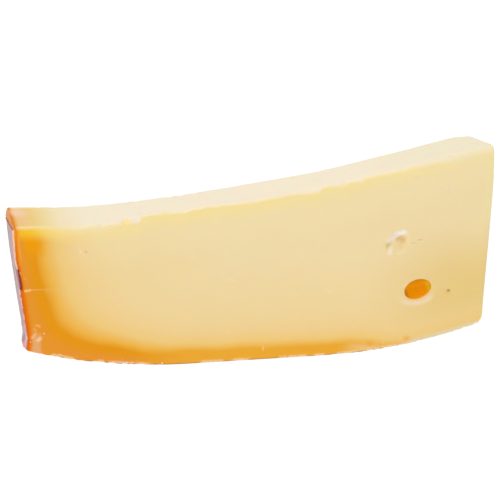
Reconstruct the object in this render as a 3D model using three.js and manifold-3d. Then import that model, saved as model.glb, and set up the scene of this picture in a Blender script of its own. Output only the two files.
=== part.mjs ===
// A wedge of semi-hard cheese with a few eyes, cut from a rinded wheel. It is a slab that stands on the
// rounded rind of the wheel, sagged flat where it rests, with a paper label glued to its rind end.
//
// Millimetres, +Z up. +X runs along the wedge from the rind end to the tip end, and +Y from the front cut
// face to the back one. The exported group has its origin under the middle of the part, where it rests.

import * as THREE from "three";
import { mergeVertices } from "three/addons/utils/BufferGeometryUtils.js";
import Module from "manifold-3d";

// The wedge's overall form.
const LENGTH = 207.3; // along the top, from the rind end to the tip end
const RIND_END_THICKNESS = 39;
const TIP_END_THICKNESS = 37;
const WHEEL_RADIUS = 245; // of the rind that the wedge stands on
const FLAT_LENGTH = 61; // the stretch of that rind which sags flat
const FLAT_CENTRE_X = -1.3;

// The concave top: its height at evenly spaced places from the rind end to the tip end.
const FRONT_TOP_HEIGHTS = [62.2, 62.2, 66.4, 69.6, 75, 81.6, 88.8];
const BACK_TOP_HEIGHTS = [63.6, 62.8, 64.8, 69, 73.9, 80.7, 87.4];

// How far each end draws in as it goes down from one height to another, and as it goes from the front face
// to the back one.
const RIND_END = { from: 62, to: 2, inset: 5.6, skew: 2.4 };
const TIP_END = { from: 78, to: 4, inset: 3.9, skew: 0 };

// The edges are cut fairly sharp at the rind end and are rubbed rounder towards the tip. The tip end's edges
// are rounded over a smaller stretch of the length higher up, because its top corner was cut last.
const RIND_END_EDGE_RADIUS = 1;
const TIP_END_EDGE_RADIUS = 3.8;
const TIP_CORNER = { from: 45, to: 78, share: 0.42 };

// The knife wandered a little on the two large faces.
const WANDER_DEPTH = 0.35;
const WANDER_LENGTH = 74;
const WANDER_START = 10; // the height above the rind at which it has grown to its full depth

// The mesh of the block: steps across each rounded edge, and steps between the edges.
const EDGE_STEPS = 2;
const LENGTH_STEPS = 38;
const THICKNESS_STEPS = 6;
const HEIGHT_STEPS = 14;
const ROUNDS = 4; // of working out a grid place, because its x, y and z each depend on the others

// The eyes, each an ellipsoid sunk into a cut face: where its middle is on that face, its opening's width
// and height, how far its long axis tips up towards +X, how deep it goes, and how far behind the face it is
// widest. A negative setback gives a shallow dish.
const FRONT = -1;
const BACK = 1;
const EYES = [
  { face: FRONT, x: 69.5, z: 27, width: 12, height: 7.8, tilt: 17, depth: 9, setback: 3 },
  { face: FRONT, x: 59.5, z: 48.1, width: 9.8, height: 11.8, tilt: -12, depth: 2.2, setback: -1.6 },
  { face: FRONT, x: 83.1, z: 26.3, width: 1.5, height: 1.3, tilt: 0, depth: 1.1, setback: 0.3 },
  { face: BACK, x: 34.2, z: 41, width: 10.4, height: 7.6, tilt: -14, depth: 7, setback: 2.2 },
  { face: BACK, x: -20.8, z: 27, width: 6.8, height: 5.2, tilt: 25, depth: 3.6, setback: 1 },
];
const EYE_SIDES = 24;
const EYE_RINGS = 12;

// The paper label on the rind end.
const LABEL = {
  thickness: 0.25,
  gap: 0.15, // clear of the rind
  sideMargin: 0.3,
  topMargin: 1.2,
  topDrop: 3, // how much lower its top lies at the back edge than at the front one
  bottomMargin: 0.7,
  puckerHeight: 40, // where its front edge stands off the rind in a small fold
  puckerDepth: 0.5,
  puckerSpan: 4.5,
  puckerReach: 9,
};
const LABEL_ACROSS_STEPS = 6;
const LABEL_UP_STEPS = 20;

const COLOURS = { cheese: 0xefd49a, label: 0x7d1428 };

const { abs, cos, exp, max, min, PI, sign, sin, sqrt } = Math;
const { clamp, degToRad, inverseLerp, lerp, smoothstep } = THREE.MathUtils;

// A smooth curve through evenly spaced heights, at a share of the way along them.
function smoothHeight(heights, share) {
  const last = heights.length - 1;
  const place = clamp(share, 0, 1) * last;
  const i = min(Math.floor(place), last - 1);
  const t = place - i;
  const [before, from, to, after] = [i - 1, i, i + 1, i + 2].map((n) => heights[clamp(n, 0, last)]);
  const out = (to - before) / 2;
  const into = (after - from) / 2;
  return (
    from * (2 * t ** 3 - 3 * t ** 2 + 1) +
    out * (t ** 3 - 2 * t ** 2 + t) +
    to * (3 * t ** 2 - 2 * t ** 3) +
    into * (t ** 3 - t ** 2)
  );
}

const along = (x) => clamp(inverseLerp(-LENGTH / 2, LENGTH / 2, x), 0, 1);
const halfThickness = (x) => lerp(RIND_END_THICKNESS, TIP_END_THICKNESS, along(x)) / 2;
const edgeRadius = (x) => lerp(RIND_END_EDGE_RADIUS, TIP_END_EDGE_RADIUS, along(x) ** 3);

// How far along X an end's rounding reaches at a place.
function endRadius(x, z) {
  const high = smoothstep(z, TIP_CORNER.from, TIP_CORNER.to) * along(x);
  return edgeRadius(x) * lerp(1, TIP_CORNER.share, high);
}

// The height of the rind underneath: flat where it rests, and then the wheel's own curve.
function bottomAt(x) {
  const past = max(0, abs(x - FLAT_CENTRE_X) - FLAT_LENGTH / 2);
  return WHEEL_RADIUS - sqrt(WHEEL_RADIUS ** 2 - past ** 2);
}

function topAt(x, y) {
  const front = smoothHeight(FRONT_TOP_HEIGHTS, along(x));
  const back = smoothHeight(BACK_TOP_HEIGHTS, along(x));
  return lerp(front, back, (y / halfThickness(x) + 1) / 2);
}

// How far back a place on the rind end is: 0 at its front edge and 1 at its back one.
const backShare = (y) => y / RIND_END_THICKNESS + 0.5;

function inset(end, y, z) {
  const down = 1 - smoothstep(z, end.to, end.from);
  return end.inset * down + end.skew * backShare(y);
}

const rindEndAt = (y, z) => -LENGTH / 2 + inset(RIND_END, y, z);
const tipEndAt = (y, z) => LENGTH / 2 - inset(TIP_END, y, z);

// How far a cut face stands out at a place: nothing at its edges underneath, so that the foot stays flat.
function wander(x, z, face) {
  const wave = sin((2 * PI * x) / WANDER_LENGTH + face) * sin((2 * PI * z) / WANDER_LENGTH);
  return WANDER_DEPTH * wave * clamp((z - bottomAt(x)) / WANDER_START, 0, 1);
}

// Where grid line number i lies, in millimetres from the first: close together across the rounded edges,
// and evenly spread between them.
function gridLine(i, middleSteps, length, radius) {
  const lines = middleSteps + 2 * EDGE_STEPS;
  if (i <= EDGE_STEPS) return (radius * i) / EDGE_STEPS;
  if (i >= lines - EDGE_STEPS) return length - (radius * (lines - i)) / EDGE_STEPS;
  return lerp(radius, length - radius, (i - EDGE_STEPS) / middleSteps);
}

// The point of the sharp-edged block at a grid place, and the same point with the block's edges rounded.
function blockPoint(i, j, k) {
  let x = lerp(-LENGTH / 2, LENGTH / 2, i / (LENGTH_STEPS + 2 * EDGE_STEPS));
  let y = 0;
  let z = 0;
  for (let round = 0; round < ROUNDS; round++) {
    const radius = edgeRadius(x);
    const half = halfThickness(x);
    y = gridLine(j, THICKNESS_STEPS, 2 * half, radius) - half;
    z = bottomAt(x) + gridLine(k, HEIGHT_STEPS, topAt(x, y) - bottomAt(x), radius);
    x = rindEndAt(y, z) + gridLine(i, LENGTH_STEPS, tipEndAt(y, z) - rindEndAt(y, z), endRadius(x, z));
  }
  const radius = edgeRadius(x);
  const half = halfThickness(x);
  const reach = new THREE.Vector3(endRadius(x, z), radius, radius);
  const core = new THREE.Vector3(
    clamp(x, rindEndAt(y, z) + reach.x, tipEndAt(y, z) - reach.x),
    clamp(y, radius - half, half - radius),
    clamp(z, bottomAt(x) + radius, topAt(x, y) - radius),
  );
  const point = new THREE.Vector3(x, y, z).sub(core).divide(reach).normalize().multiply(reach).add(core);
  if (abs(y) > half - radius) point.y += sign(y) * wander(x, z, sign(y));
  return point;
}

// A box's grid, with each of its grid places moved to where place(i, j, k) says.
function shapedBox([nx, ny, nz], place) {
  const box = new THREE.BoxGeometry(1, 1, 1, nx, ny, nz);
  box.deleteAttribute("normal");
  box.deleteAttribute("uv");
  const shape = mergeVertices(box, 1e-5);
  const position = shape.getAttribute("position");
  for (let v = 0; v < position.count; v++) {
    const i = Math.round((position.getX(v) + 0.5) * nx);
    const j = Math.round((position.getY(v) + 0.5) * ny);
    const k = Math.round((position.getZ(v) + 0.5) * nz);
    position.setXYZ(v, ...place(i, j, k));
  }
  return shape;
}

function blockGeometry() {
  const counts = [LENGTH_STEPS, THICKNESS_STEPS, HEIGHT_STEPS].map((n) => n + 2 * EDGE_STEPS);
  return shapedBox(counts, blockPoint);
}

// The ellipsoid that leaves an eye when it is cut out of the block.
function eyeGeometry(eye) {
  const sphere = new THREE.SphereGeometry(1, EYE_SIDES, EYE_RINGS);
  sphere.deleteAttribute("normal");
  sphere.deleteAttribute("uv");
  const deepRadius = eye.depth - eye.setback;
  const atFace = sqrt(1 - (eye.setback / deepRadius) ** 2);
  sphere.scale(eye.width / 2 / atFace, deepRadius, eye.height / 2 / atFace);
  sphere.rotateY(-degToRad(eye.tilt));
  sphere.translate(eye.x, eye.face * (halfThickness(eye.x) - eye.setback), eye.z);
  return mergeVertices(sphere, 1e-4);
}

// How far the label stands off the rind at a place.
function pucker(y, z) {
  const up = (z - LABEL.puckerHeight) / LABEL.puckerSpan;
  const back = (y + RIND_END_THICKNESS / 2) / LABEL.puckerReach;
  return LABEL.puckerDepth * exp(-(up ** 2) - back ** 2);
}

function labelGeometry() {
  const halfWidth = RIND_END_THICKNESS / 2 - LABEL.sideMargin;
  const bottom = bottomAt(RIND_END.inset - LENGTH / 2) + LABEL.bottomMargin;
  return shapedBox([1, LABEL_ACROSS_STEPS, LABEL_UP_STEPS], (i, j, k) => {
    const y = lerp(-halfWidth, halfWidth, j / LABEL_ACROSS_STEPS);
    const top = topAt(-LENGTH / 2, y) - LABEL.topMargin - LABEL.topDrop * backShare(y);
    const z = lerp(bottom, top, k / LABEL_UP_STEPS);
    const outside = LABEL.gap + pucker(y, z) + (i === 0 ? LABEL.thickness : 0);
    return new THREE.Vector3(rindEndAt(y, z) - outside, y, z);
  });
}

const wasm = await Module();
wasm.setup();

function toSolid(geometry) {
  return new wasm.Manifold(
    new wasm.Mesh({
      numProp: 3,
      vertProperties: new Float32Array(geometry.getAttribute("position").array),
      triVerts: new Uint32Array(geometry.index.array),
    }),
  );
}

function toGeometry(solid) {
  const { vertProperties, triVerts } = solid.getMesh();
  const geometry = new THREE.BufferGeometry();
  geometry.setAttribute("position", new THREE.BufferAttribute(vertProperties, 3));
  geometry.setIndex(new THREE.BufferAttribute(triVerts, 1));
  geometry.computeVertexNormals();
  return geometry;
}

function cheese() {
  const block = toSolid(blockGeometry());
  const solid = EYES.reduce((rest, eye) => rest.subtract(toSolid(eyeGeometry(eye))), block);
  const material = new THREE.MeshStandardMaterial({ color: COLOURS.cheese, roughness: 0.5 });
  const mesh = new THREE.Mesh(toGeometry(solid), material);
  mesh.name = "cheese";
  return mesh;
}

function label() {
  const geometry = labelGeometry();
  geometry.computeVertexNormals();
  const material = new THREE.MeshStandardMaterial({ color: COLOURS.label, roughness: 0.35 });
  const mesh = new THREE.Mesh(geometry, material);
  mesh.name = "label";
  return mesh;
}

const wedge = new THREE.Group();
wedge.add(cheese(), label());

const box = new THREE.Box3().setFromObject(wedge, true);
const middle = box.getCenter(new THREE.Vector3());
wedge.position.set(-middle.x, -middle.y, -box.min.z);

export default wedge;
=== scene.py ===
import math

import bpy
from bpy.props import BoolProperty, CollectionProperty, FloatProperty, FloatVectorProperty
from bpy.props import IntProperty, PointerProperty
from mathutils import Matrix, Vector


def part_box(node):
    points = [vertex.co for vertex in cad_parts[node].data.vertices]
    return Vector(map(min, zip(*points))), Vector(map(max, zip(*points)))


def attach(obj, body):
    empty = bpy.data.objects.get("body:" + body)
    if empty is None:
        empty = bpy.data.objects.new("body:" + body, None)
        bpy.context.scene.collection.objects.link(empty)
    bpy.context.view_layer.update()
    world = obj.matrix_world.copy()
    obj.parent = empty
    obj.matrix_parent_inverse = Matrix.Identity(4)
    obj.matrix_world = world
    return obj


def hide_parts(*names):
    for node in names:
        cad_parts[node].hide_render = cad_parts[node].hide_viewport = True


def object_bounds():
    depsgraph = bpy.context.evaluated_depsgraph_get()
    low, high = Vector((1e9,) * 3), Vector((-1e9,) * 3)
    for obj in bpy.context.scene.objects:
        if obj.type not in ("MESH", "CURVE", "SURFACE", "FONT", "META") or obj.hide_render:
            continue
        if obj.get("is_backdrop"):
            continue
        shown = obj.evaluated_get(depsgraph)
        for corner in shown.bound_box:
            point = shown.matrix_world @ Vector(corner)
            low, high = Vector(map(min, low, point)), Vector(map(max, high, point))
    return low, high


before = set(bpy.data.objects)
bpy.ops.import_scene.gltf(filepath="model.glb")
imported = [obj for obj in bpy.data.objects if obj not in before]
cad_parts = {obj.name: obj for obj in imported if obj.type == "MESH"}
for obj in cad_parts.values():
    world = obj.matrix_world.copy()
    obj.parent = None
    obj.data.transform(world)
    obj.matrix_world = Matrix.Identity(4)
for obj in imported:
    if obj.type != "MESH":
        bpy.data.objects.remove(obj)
CAD_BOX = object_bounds()

bl_info = {
    "name": "Cheese Wedge",
    "version": (1, 0, 0),
    "blender": (4, 5, 0),
    "location": "3D View > Sidebar > Cheese Wedge",
    "description": "A wedge of semi-hard cheese with eyes, a rind and a paper label",
    "category": "Object",
}

MM = 0.001
GEOMETRY = "GeometryNodeTree"
SHADER = "ShaderNodeTree"

# Where the middle of the block lies along X: the label makes the whole part a little longer at one end.
BLOCK_LENGTH = 207.3
BLOCK_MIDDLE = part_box("cheese")[1].x / MM - BLOCK_LENGTH / 2

# Where the front cut face lies along Y, a height that is well inside the block, and x and z of the small pit.
FRONT_Y = -19
MID_HEIGHT = 30 * MM
PIT = (83.5, 25.8)

# Each eye: on the back face or not, x and z of its middle, its opening's width and height, how far its
# long axis tips up towards the tip end, how deep it goes, and how far behind the face it is widest.
EYES = (
    (False, 70.0, 27.0, 11.4, 8.0, 15, 5.4, 1.5),
    (False, *PIT, 1.2, 1.0, 0, 0.6, 0.15),
    (True, 34.4, 41, 10.4, 7.6, -14, 7, 2.2),
    (True, -20.6, 27, 6.8, 5.2, 25, 3.6, 1),
)

# How thick the block is where they are.
THICKNESS_AT_FRONT_EYES = 37.4
THICKNESS_AT_BACK_EYES = 37.6

# The shallow broken eye in the front face: x and z of its middle.
BROKEN_EYE = (60.2, 48)

# Steps in the front edge of the top, where the cut was torn: x, how far the edge sinks before the step, over
# what length it sinks, how far it stands up behind the step, and half the length of the step itself. Behind
# a step the edge comes back to its own height over the length of the tail.
EDGE_STEPS = (
    (-73.0, 0.9, 20, 0, 2.4),
    (-49.6, 1.3, 15, 0.8, 0.4),
    (-29.6, 0.9, 9, 0.2, 1.8),
    (-24.4, 0.4, 5, 0.2, 1.2),
    (26.9, 1.7, 12, 0.3, 1.4),
    (38.6, 1.2, 9, 0, 1.2),
    (45.4, 0.7, 6, 0.3, 0.7),
    (65, 0.6, 14, 0, 3),
)

STEP_TAIL = 18

# The chip in that edge and the flake that hangs over it beside the chip: where along X their middles lie,
# and half their widths. The chip reaches some way into the top.
EDGE_CHIP = (-56.0, 2.6)
EDGE_CHIP_REACH = 4.5
EDGE_FLAKE = (-52.9, 1.6)

# Stretches along the foot that are rubbed pale, and ones where the thin dark skin shows: both ends along X.
PALE_FOOT = (
    (-88, -79), (-69, -46.5), (-25, -15.4), (-11.2, -4), (9, 12), (13, 21), (24.5, 29), (34.5, 43),
    (47, 49), (55, 59),
)
DARK_FOOT = (
    (-86, -83), (-74, -71), (-69, -52), (-46, -26), (-14.6, -12.5), (-4, 9), (22, 24), (31, 34), (41, 52),
)

# Strokes on the front face: x and z of both ends, width, colour and strength.
MARKS = (
    # The long crease by the rind end, and a fleck below it.
    (-98.8, 35.3, -96.9, 35.5, 0.75, (252, 206, 136), 1.0),
    (-97.2, 35.6, -94.0, 35.6, 0.5, (246, 186, 100), 0.7),
    (-94.0, 35.6, -88.5, 35.5, 0.5, (242, 188, 104), 0.45),
    (-88.5, 35.5, -80.0, 35.2, 0.6, (243, 198, 124), 0.25),
    (-90.4, 34.8, -89.2, 34.5, 0.6, (238, 184, 96), 0.4),
    # Dry curd in the lower corner, and flecks above the crease.
    (-94.5, 20.4, -93.0, 19.9, 0.8, (247, 178, 100), 0.9),
    (-95.4, 18.9, -94.9, 18.2, 0.8, (240, 178, 112), 0.8),
    (-96.3, 15.2, -94.9, 16.8, 1.0, (248, 190, 136), 0.9),
    (-93.8, 14.0, -92.9, 14.6, 1.4, (250, 204, 156), 1.0),
    (-94.9, 14.0, -94.6, 13.9, 0.8, (246, 192, 140), 0.8),
    (-100.8, 43.2, -100.3, 42.3, 0.5, (248, 172, 84), 0.8),
    (-99.3, 40.6, -98.6, 40.3, 0.5, (248, 166, 80), 0.8),
    # The fine fissure beside the broken eye.
    (69.6, 48.7, 71.4, 48.8, 0.6, (212, 192, 144), 0.6),
    (69.6, 48.1, 71.6, 48.1, 0.5, (244, 226, 188), 0.4),
    (66.4, 47.6, 68.6, 47.5, 0.6, (214, 194, 146), 0.35),
    # The torn curd in the broken eye and round it.
    (61.3, 50.0, 63.2, 48.6, 2.4, (238, 200, 136), 0.9),
    (61.4, 47.4, 62.4, 45.8, 1.8, (236, 204, 142), 0.4),
    (60.0, 50.2, 60.6, 49.0, 1.2, (214, 190, 158), 0.45),
    (61.0, 49.5, 61.3, 49.3, 0.6, (214, 168, 104), 0.4),
    (57.6, 48.0, 56.0, 46.0, 1.3, (222, 202, 122), 0.75),
    (60.4, 51.6, 63.3, 52.2, 2.0, (243, 240, 236), 1.0),
    (59.9, 51.0, 56.9, 48.6, 2.2, (245, 228, 216), 0.9),
    (57.9, 45.4, 56.9, 43.4, 1.7, (246, 226, 210), 0.85),
    (61.2, 43.0, 64.0, 44.2, 1.2, (243, 224, 186), 0.5),
    (64.9, 51.0, 65.6, 47.0, 1.2, (242, 224, 184), 0.4),
    # Pale curd round the crystals, and loose flecks.
    (82.6, 69.0, 82.9, 69.8, 1.6, (247, 218, 196), 0.8),
    (68.8, 75.4, 69.1, 75.6, 1.5, (243, 216, 184), 0.7),
    (30.4, 28.2, 31.8, 28.2, 1.3, (246, 218, 176), 0.7),
    (-75.6, 51.0, -75.2, 50.4, 0.8, (255, 220, 172), 1.0),
    (-74.6, 52.0, -73.6, 51.4, 1.0, (248, 210, 158), 0.7),
    (-73.4, 50.7, -73.0, 50.5, 0.8, (222, 186, 132), 0.7),
    (2.0, 4.4, 2.0, 5.6, 0.8, (252, 204, 116), 0.8),
    (-12.2, 35.6, -10.6, 35.2, 1.0, (246, 224, 170), 0.6),
)

# Where the crumbs lie thickest along the foot: x, and half the length of each heap.
CRUMB_HEAPS = ((-86, 7), (-60, 8), (50, 8), (60, 4))

# Tiny pale crystals in the front face: x, z and width.
CRYSTALS = (
    (82.7, 69.2, 1.0),
    (30.9, 28.3, 0.6),
    (-75.4, 50.8, 0.6),
)


def rgb(red, green, blue):
    """A colour given in the 0 to 255 steps of a screen, as the linear values that Blender works in."""
    steps = (red / 255, green / 255, blue / 255)
    return tuple(s / 12.92 if s <= 0.04045 else ((s + 0.055) / 1.055) ** 2.4 for s in steps)


def mm(*lengths):
    """Lengths given in millimetres, in metres."""
    return tuple(length * MM for length in lengths)


def size(name, description, millimetres, **more):
    """A length that a user can change."""
    return FloatProperty(
        name=name, description=description, default=millimetres * MM, unit="LENGTH", precision=5, **more
    )


def number(name, description, value):
    """A plain number that a user can change."""
    return FloatProperty(name=name, description=description, default=value)


def angle(name, description, degrees):
    """An angle that a user can change."""
    return FloatProperty(name=name, description=description, default=math.radians(degrees), subtype="ANGLE")


def colour(name, description, red, green, blue):
    """A colour that a user can change."""
    return FloatVectorProperty(
        name=name, description=description, default=rgb(red, green, blue), subtype="COLOR", min=0, max=1
    )


def heights(name, description, *millimetres):
    """Evenly spaced heights along the top, from the rind end to the tip end."""
    return FloatVectorProperty(
        name=name, description=description, default=[h * MM for h in millimetres], size=len(millimetres),
        unit="LENGTH", precision=5,
    )


class WedgeShape(bpy.types.PropertyGroup):
    """The form of the block, its rind end and its tip end."""

    length: size("Length", "Along the top, from the rind end to the tip end", BLOCK_LENGTH)
    middle: size("Middle", "Where the middle of the block lies along X", BLOCK_MIDDLE)
    rind_end_thickness: size("Rind End Thickness", "From cut face to cut face at the rind end", 39)
    tip_end_thickness: size("Tip End Thickness", "From cut face to cut face at the tip end", 37)
    wheel_radius: size("Wheel Radius", "Radius of the rind that the wedge stands on", 245)
    flat_length: size("Flat Length", "The stretch of that rind which sags flat", 61)
    flat_centre: size("Flat Centre", "Where the middle of the flat stretch lies on the block", -1.3)
    front_heights: heights(
        "Front Heights", "Of the top along its front edge", 62.2, 62.2, 66.4, 69.6, 75, 81.6, 88.8
    )
    back_heights: heights(
        "Back Heights", "Of the top along its back edge", 63.2, 62.3, 64.5, 68.6, 73.4, 80.5, 87.3
    )
    rind_end_inset: size("Rind End Inset", "How far the rind end draws in towards its foot", 5.6)
    rind_end_skew: size("Rind End Skew", "How far the rind end draws in towards its back edge", 2.4)
    rind_end_bulge: size("Rind End Bulge", "How far the rind end bulges out low down", 1.7)
    rind_rim: size("Rind Rim", "How far the rind end stands out below its top, at the back edge", 0.7)
    tip_top_round: size("Tip Top Round", "How far the top rounds off at the back of the tip end", 0.8)
    tip_end_inset: size("Tip End Inset", "How far the tip end draws in towards its foot", 4.3)
    rind_edge_radius: size("Rind End Edge Radius", "Of the edges at the rind end", 1.0)
    tip_edge_radius: size("Tip End Edge Radius", "Of the edges at the tip end", 3.8)
    tip_corner: number("Tip Corner", "Share of that radius that the top corner keeps along X", 0.42)
    tip_foot_corner: number("Tip Foot Corner", "Share of it that the lower corner keeps along X", 0.65)
    wander_depth: size("Knife Wander", "How far the knife wandered on the cut faces", 0.35)
    wander_length: size("Knife Wander Length", "The length of one such wave", 74)


class WedgeRelief(bpy.types.PropertyGroup):
    """The small relief of the cut faces, the edges and the rind."""

    edge_waves: size("Edge Waves", "How much the rind and the top waver", 0.25)
    nibble_depth: size("Top Edge Nibbles", "Depth of the small steps in the front top edge", 0.35)
    chip_in_edge: size("Top Edge Chip", "Depth of the one larger chip in the front top edge", 0.6)
    dent_depth: size("Rind End Dent", "Depth of the dent in the front edge of the rind end", 0.6)
    swell: size("Cut Face Swell", "Depth of the slow waves on the cut faces", 0.22)
    drag_marks: size("Drag Marks", "Depth of the marks that the wire dragged along the cut faces", 0.07)
    chip_depth: size("Chip Depth", "Depth of the crumbled chips along the edges", 0.7)
    wrinkles: size("Rind Wrinkles", "Depth of the wrinkles in the rind", 0.3)
    eye_lip: size("Eye Lip", "How far the cut face rounds into an eye", 0.7)
    dish_depth: size("Dish Depth", "Depth of the shallow broken eye", 2.0)


class Eye(bpy.types.PropertyGroup):
    """One eye in a cut face."""

    back: BoolProperty(name="Back Face", description="Whether the eye is in the back face", default=False)
    x: size("X", "Of the middle of the opening", 0)
    z: size("Z", "Of the middle of the opening", 30)
    width: size("Width", "Of the opening, along its long axis", 10)
    height: size("Height", "Of the opening, across its long axis", 8)
    tilt: angle("Tilt", "Of the long axis, up towards the tip end", 0)
    depth: size("Depth", "From the cut face to the bottom of the eye", 6)
    setback: size("Setback", "How far behind the cut face the eye is widest", 2)


class WedgeColours(bpy.types.PropertyGroup):
    """The colours of the cheese."""

    cream: colour("Cream", "The middle of the cut faces", 241, 220, 172)
    ivory: colour("Ivory", "Where the cream begins to turn yellow towards the rind", 241, 215, 158)
    pale_straw: colour("Pale Straw", "Further towards the rind", 242, 211, 148)
    straw: colour("Straw", "A third of the way from the rind to the cream", 241, 205, 128)
    gold: colour("Gold", "A fifth of the way from the rind to the cream", 240, 183, 72)
    amber: colour("Amber", "Close behind the rind", 232, 154, 18)
    bright_amber: colour("Bright Amber", "Behind the rind in the upper corner", 243, 161, 0)
    under_rind: colour("Under Rind", "Right behind the rind", 233, 153, 46)
    # The tan is painted shade where the light falls off towards the lower tip end.
    tan: colour("Tan", "The cut faces towards the foot of the tip end", 234, 204, 132)
    # The band under the top edges is painted light where the rounded edge catches it, and near the rind end
    # the paste's own amber.
    top_edge: colour("Top Edge", "The band just under the top edges", 247, 227, 156)
    top_edge_gold: colour("Golden Top Edge", "The same band near the rind end", 247, 192, 40)
    # The top face is painted paler than the cut faces, standing in for the stronger light that falls on it
    # from above.
    top: colour("Top", "The dried top face", 245, 231, 204)
    top_golden: colour("Golden Top", "The dried top face near the rind end", 237, 204, 127)
    top_rim: colour("Top Rim", "The rim of the top face at the rind end", 224, 145, 56)
    foot_amber: colour("Foot Amber", "Close behind the rind along the foot", 238, 174, 54)
    foot_skin: colour("Foot Skin", "The thin dark skin along the foot", 168, 112, 40)
    foot_pale: colour("Pale Foot", "The rubbed places along the foot", 247, 208, 156)
    rind: colour("Rind", "The outside of the rind", 206, 134, 60)
    rind_dark: colour("Dark Rind", "The hollows of the rind", 150, 88, 36)
    bloom: colour("Bloom", "The dry pale dust on the rind and its edges", 243, 198, 150)
    bevel: colour("Bevel", "The pale rubbed edge along the foot of the tip end", 228, 214, 176)
    eye_deep: colour("Deep Eye", "The wall of an eye, deep inside", 255, 172, 0)
    eye_rim: colour("Eye Rim", "The wall of an eye near its opening", 236, 186, 30)
    # The pale ring is smeared curd, with painted light on its lower lip.
    eye_lip: colour("Eye Lip", "The pale ring round a deep eye", 243, 222, 192)
    pit: colour("Pit", "The inside of the smallest pits", 196, 150, 92)


class LabelShape(bpy.types.PropertyGroup):
    """The paper label on the rind end."""

    thickness: size("Thickness", "Of the paper", 0.2)
    tuck: size("Tuck", "How deep the back of the paper is pressed into the rind", 0.3)
    wrap: size("Wrap", "How far the lower paper bends round the front edge", 0.1)
    flap_wrap: size("Flap Wrap", "How much further it bends round at its small flap", 1.5)
    flap_foot: size("Flap Foot", "Of that flap, over the floor", 36)
    flap_top: size("Flap Top", "Of that flap, over the floor", 46.5)
    top_margin: size("Top Margin", "From the top of the paper to the top of the rind", 1.2)
    top_drop: size("Top Drop", "How much lower its top lies at the back edge than at the front one", 3)
    bottom_margin: size("Bottom Margin", "From the foot of the paper to the foot of the rind", 0.5)
    wrinkle: size("Wrinkles", "How far the paper wrinkles", 0.15)
    paper: colour("Crimson Paper", "The printed face of the paper", 132, 5, 28)
    # The pink also stands for painted highlights near the front edge.
    pink: colour("Pink Paper", "The print where it is half rubbed off", 240, 112, 134)
    worn: colour("Worn Paper", "The paper where the print is rubbed off", 248, 214, 184)


class CrumbSettings(bpy.types.PropertyGroup):
    """The loose crumbs along the foot and the crystals in the front face."""

    smallest: size("Smallest", "Width of the smallest crumbs", 0.25)
    largest: size("Largest", "Width of the largest crumbs", 1.0)
    density: number("Density", "Crumbs on each square metre", 1e6)
    seed: IntProperty(name="Seed", description="Changes where the crumbs lie", default=4)
    pale: colour("Crumb", "The colour of the crumbs and crystals", 250, 222, 196)


class StageSettings(bpy.types.PropertyGroup):
    """The floor, the light and the camera."""

    target: FloatVectorProperty(
        name="Target", description="The place that the camera looks at",
        default=mm(-2.0, -19, 42.7), subtype="TRANSLATION", unit="LENGTH",
    )
    azimuth: angle("Azimuth", "Of the camera, round the part", -12.6)
    elevation: angle("Elevation", "Of the camera, over the floor", 12.9)
    distance: size("Distance", "From the camera to its target", 1100)
    lens: number("Lens", "Focal length in millimetres", 188.6)
    floor_width: size("Floor Width", "Of the pale floor", 8000)
    floor: colour("Floor", "The colour of the floor", 60, 60, 60)
    floor_glow: number("Floor Glow", "How much light the floor gives by itself", 0.99)
    room_light: number("Room Light", "Strength of the white room", 0.78)
    key_light: number("Key Light", "Strength of the large soft light", 0.776)
    key_softness: angle("Key Softness", "How wide the soft light looks", 50)


class Wedge(bpy.types.PropertyGroup):
    """Everything that can be changed about the cheese wedge."""

    shape: PointerProperty(type=WedgeShape)
    relief: PointerProperty(type=WedgeRelief)
    eyes: CollectionProperty(type=Eye)
    colours: PointerProperty(type=WedgeColours)
    label: PointerProperty(type=LabelShape)
    crumbs: PointerProperty(type=CrumbSettings)
    stage: PointerProperty(type=StageSettings)


# ---------------------------------------------------------------------------------------------------------
# Node trees


class Value:
    """What comes out of a node. Arithmetic on it adds the nodes that work out the result."""

    def __init__(self, tree, socket):
        self.tree = tree
        self.socket = socket

    def __getitem__(self, name):
        return Value(self.tree, self.socket.node.outputs[name])

    def __gt__(self, other):
        return self.tree.math("GREATER_THAN", self, other)

    def __lt__(self, other):
        return self.tree.math("LESS_THAN", self, other)


def add_operator(name, operation):
    """Lets a Value stand on either side of an operator, with a number or with another Value."""
    setattr(Value, f"__{name}__", lambda value, other: value.tree.math(operation, value, other))
    setattr(Value, f"__r{name}__", lambda value, other: value.tree.math(operation, other, value))


for name, operation in (
    ("add", "ADD"), ("sub", "SUBTRACT"), ("mul", "MULTIPLY"), ("truediv", "DIVIDE"), ("pow", "POWER")
):
    add_operator(name, operation)


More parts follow.
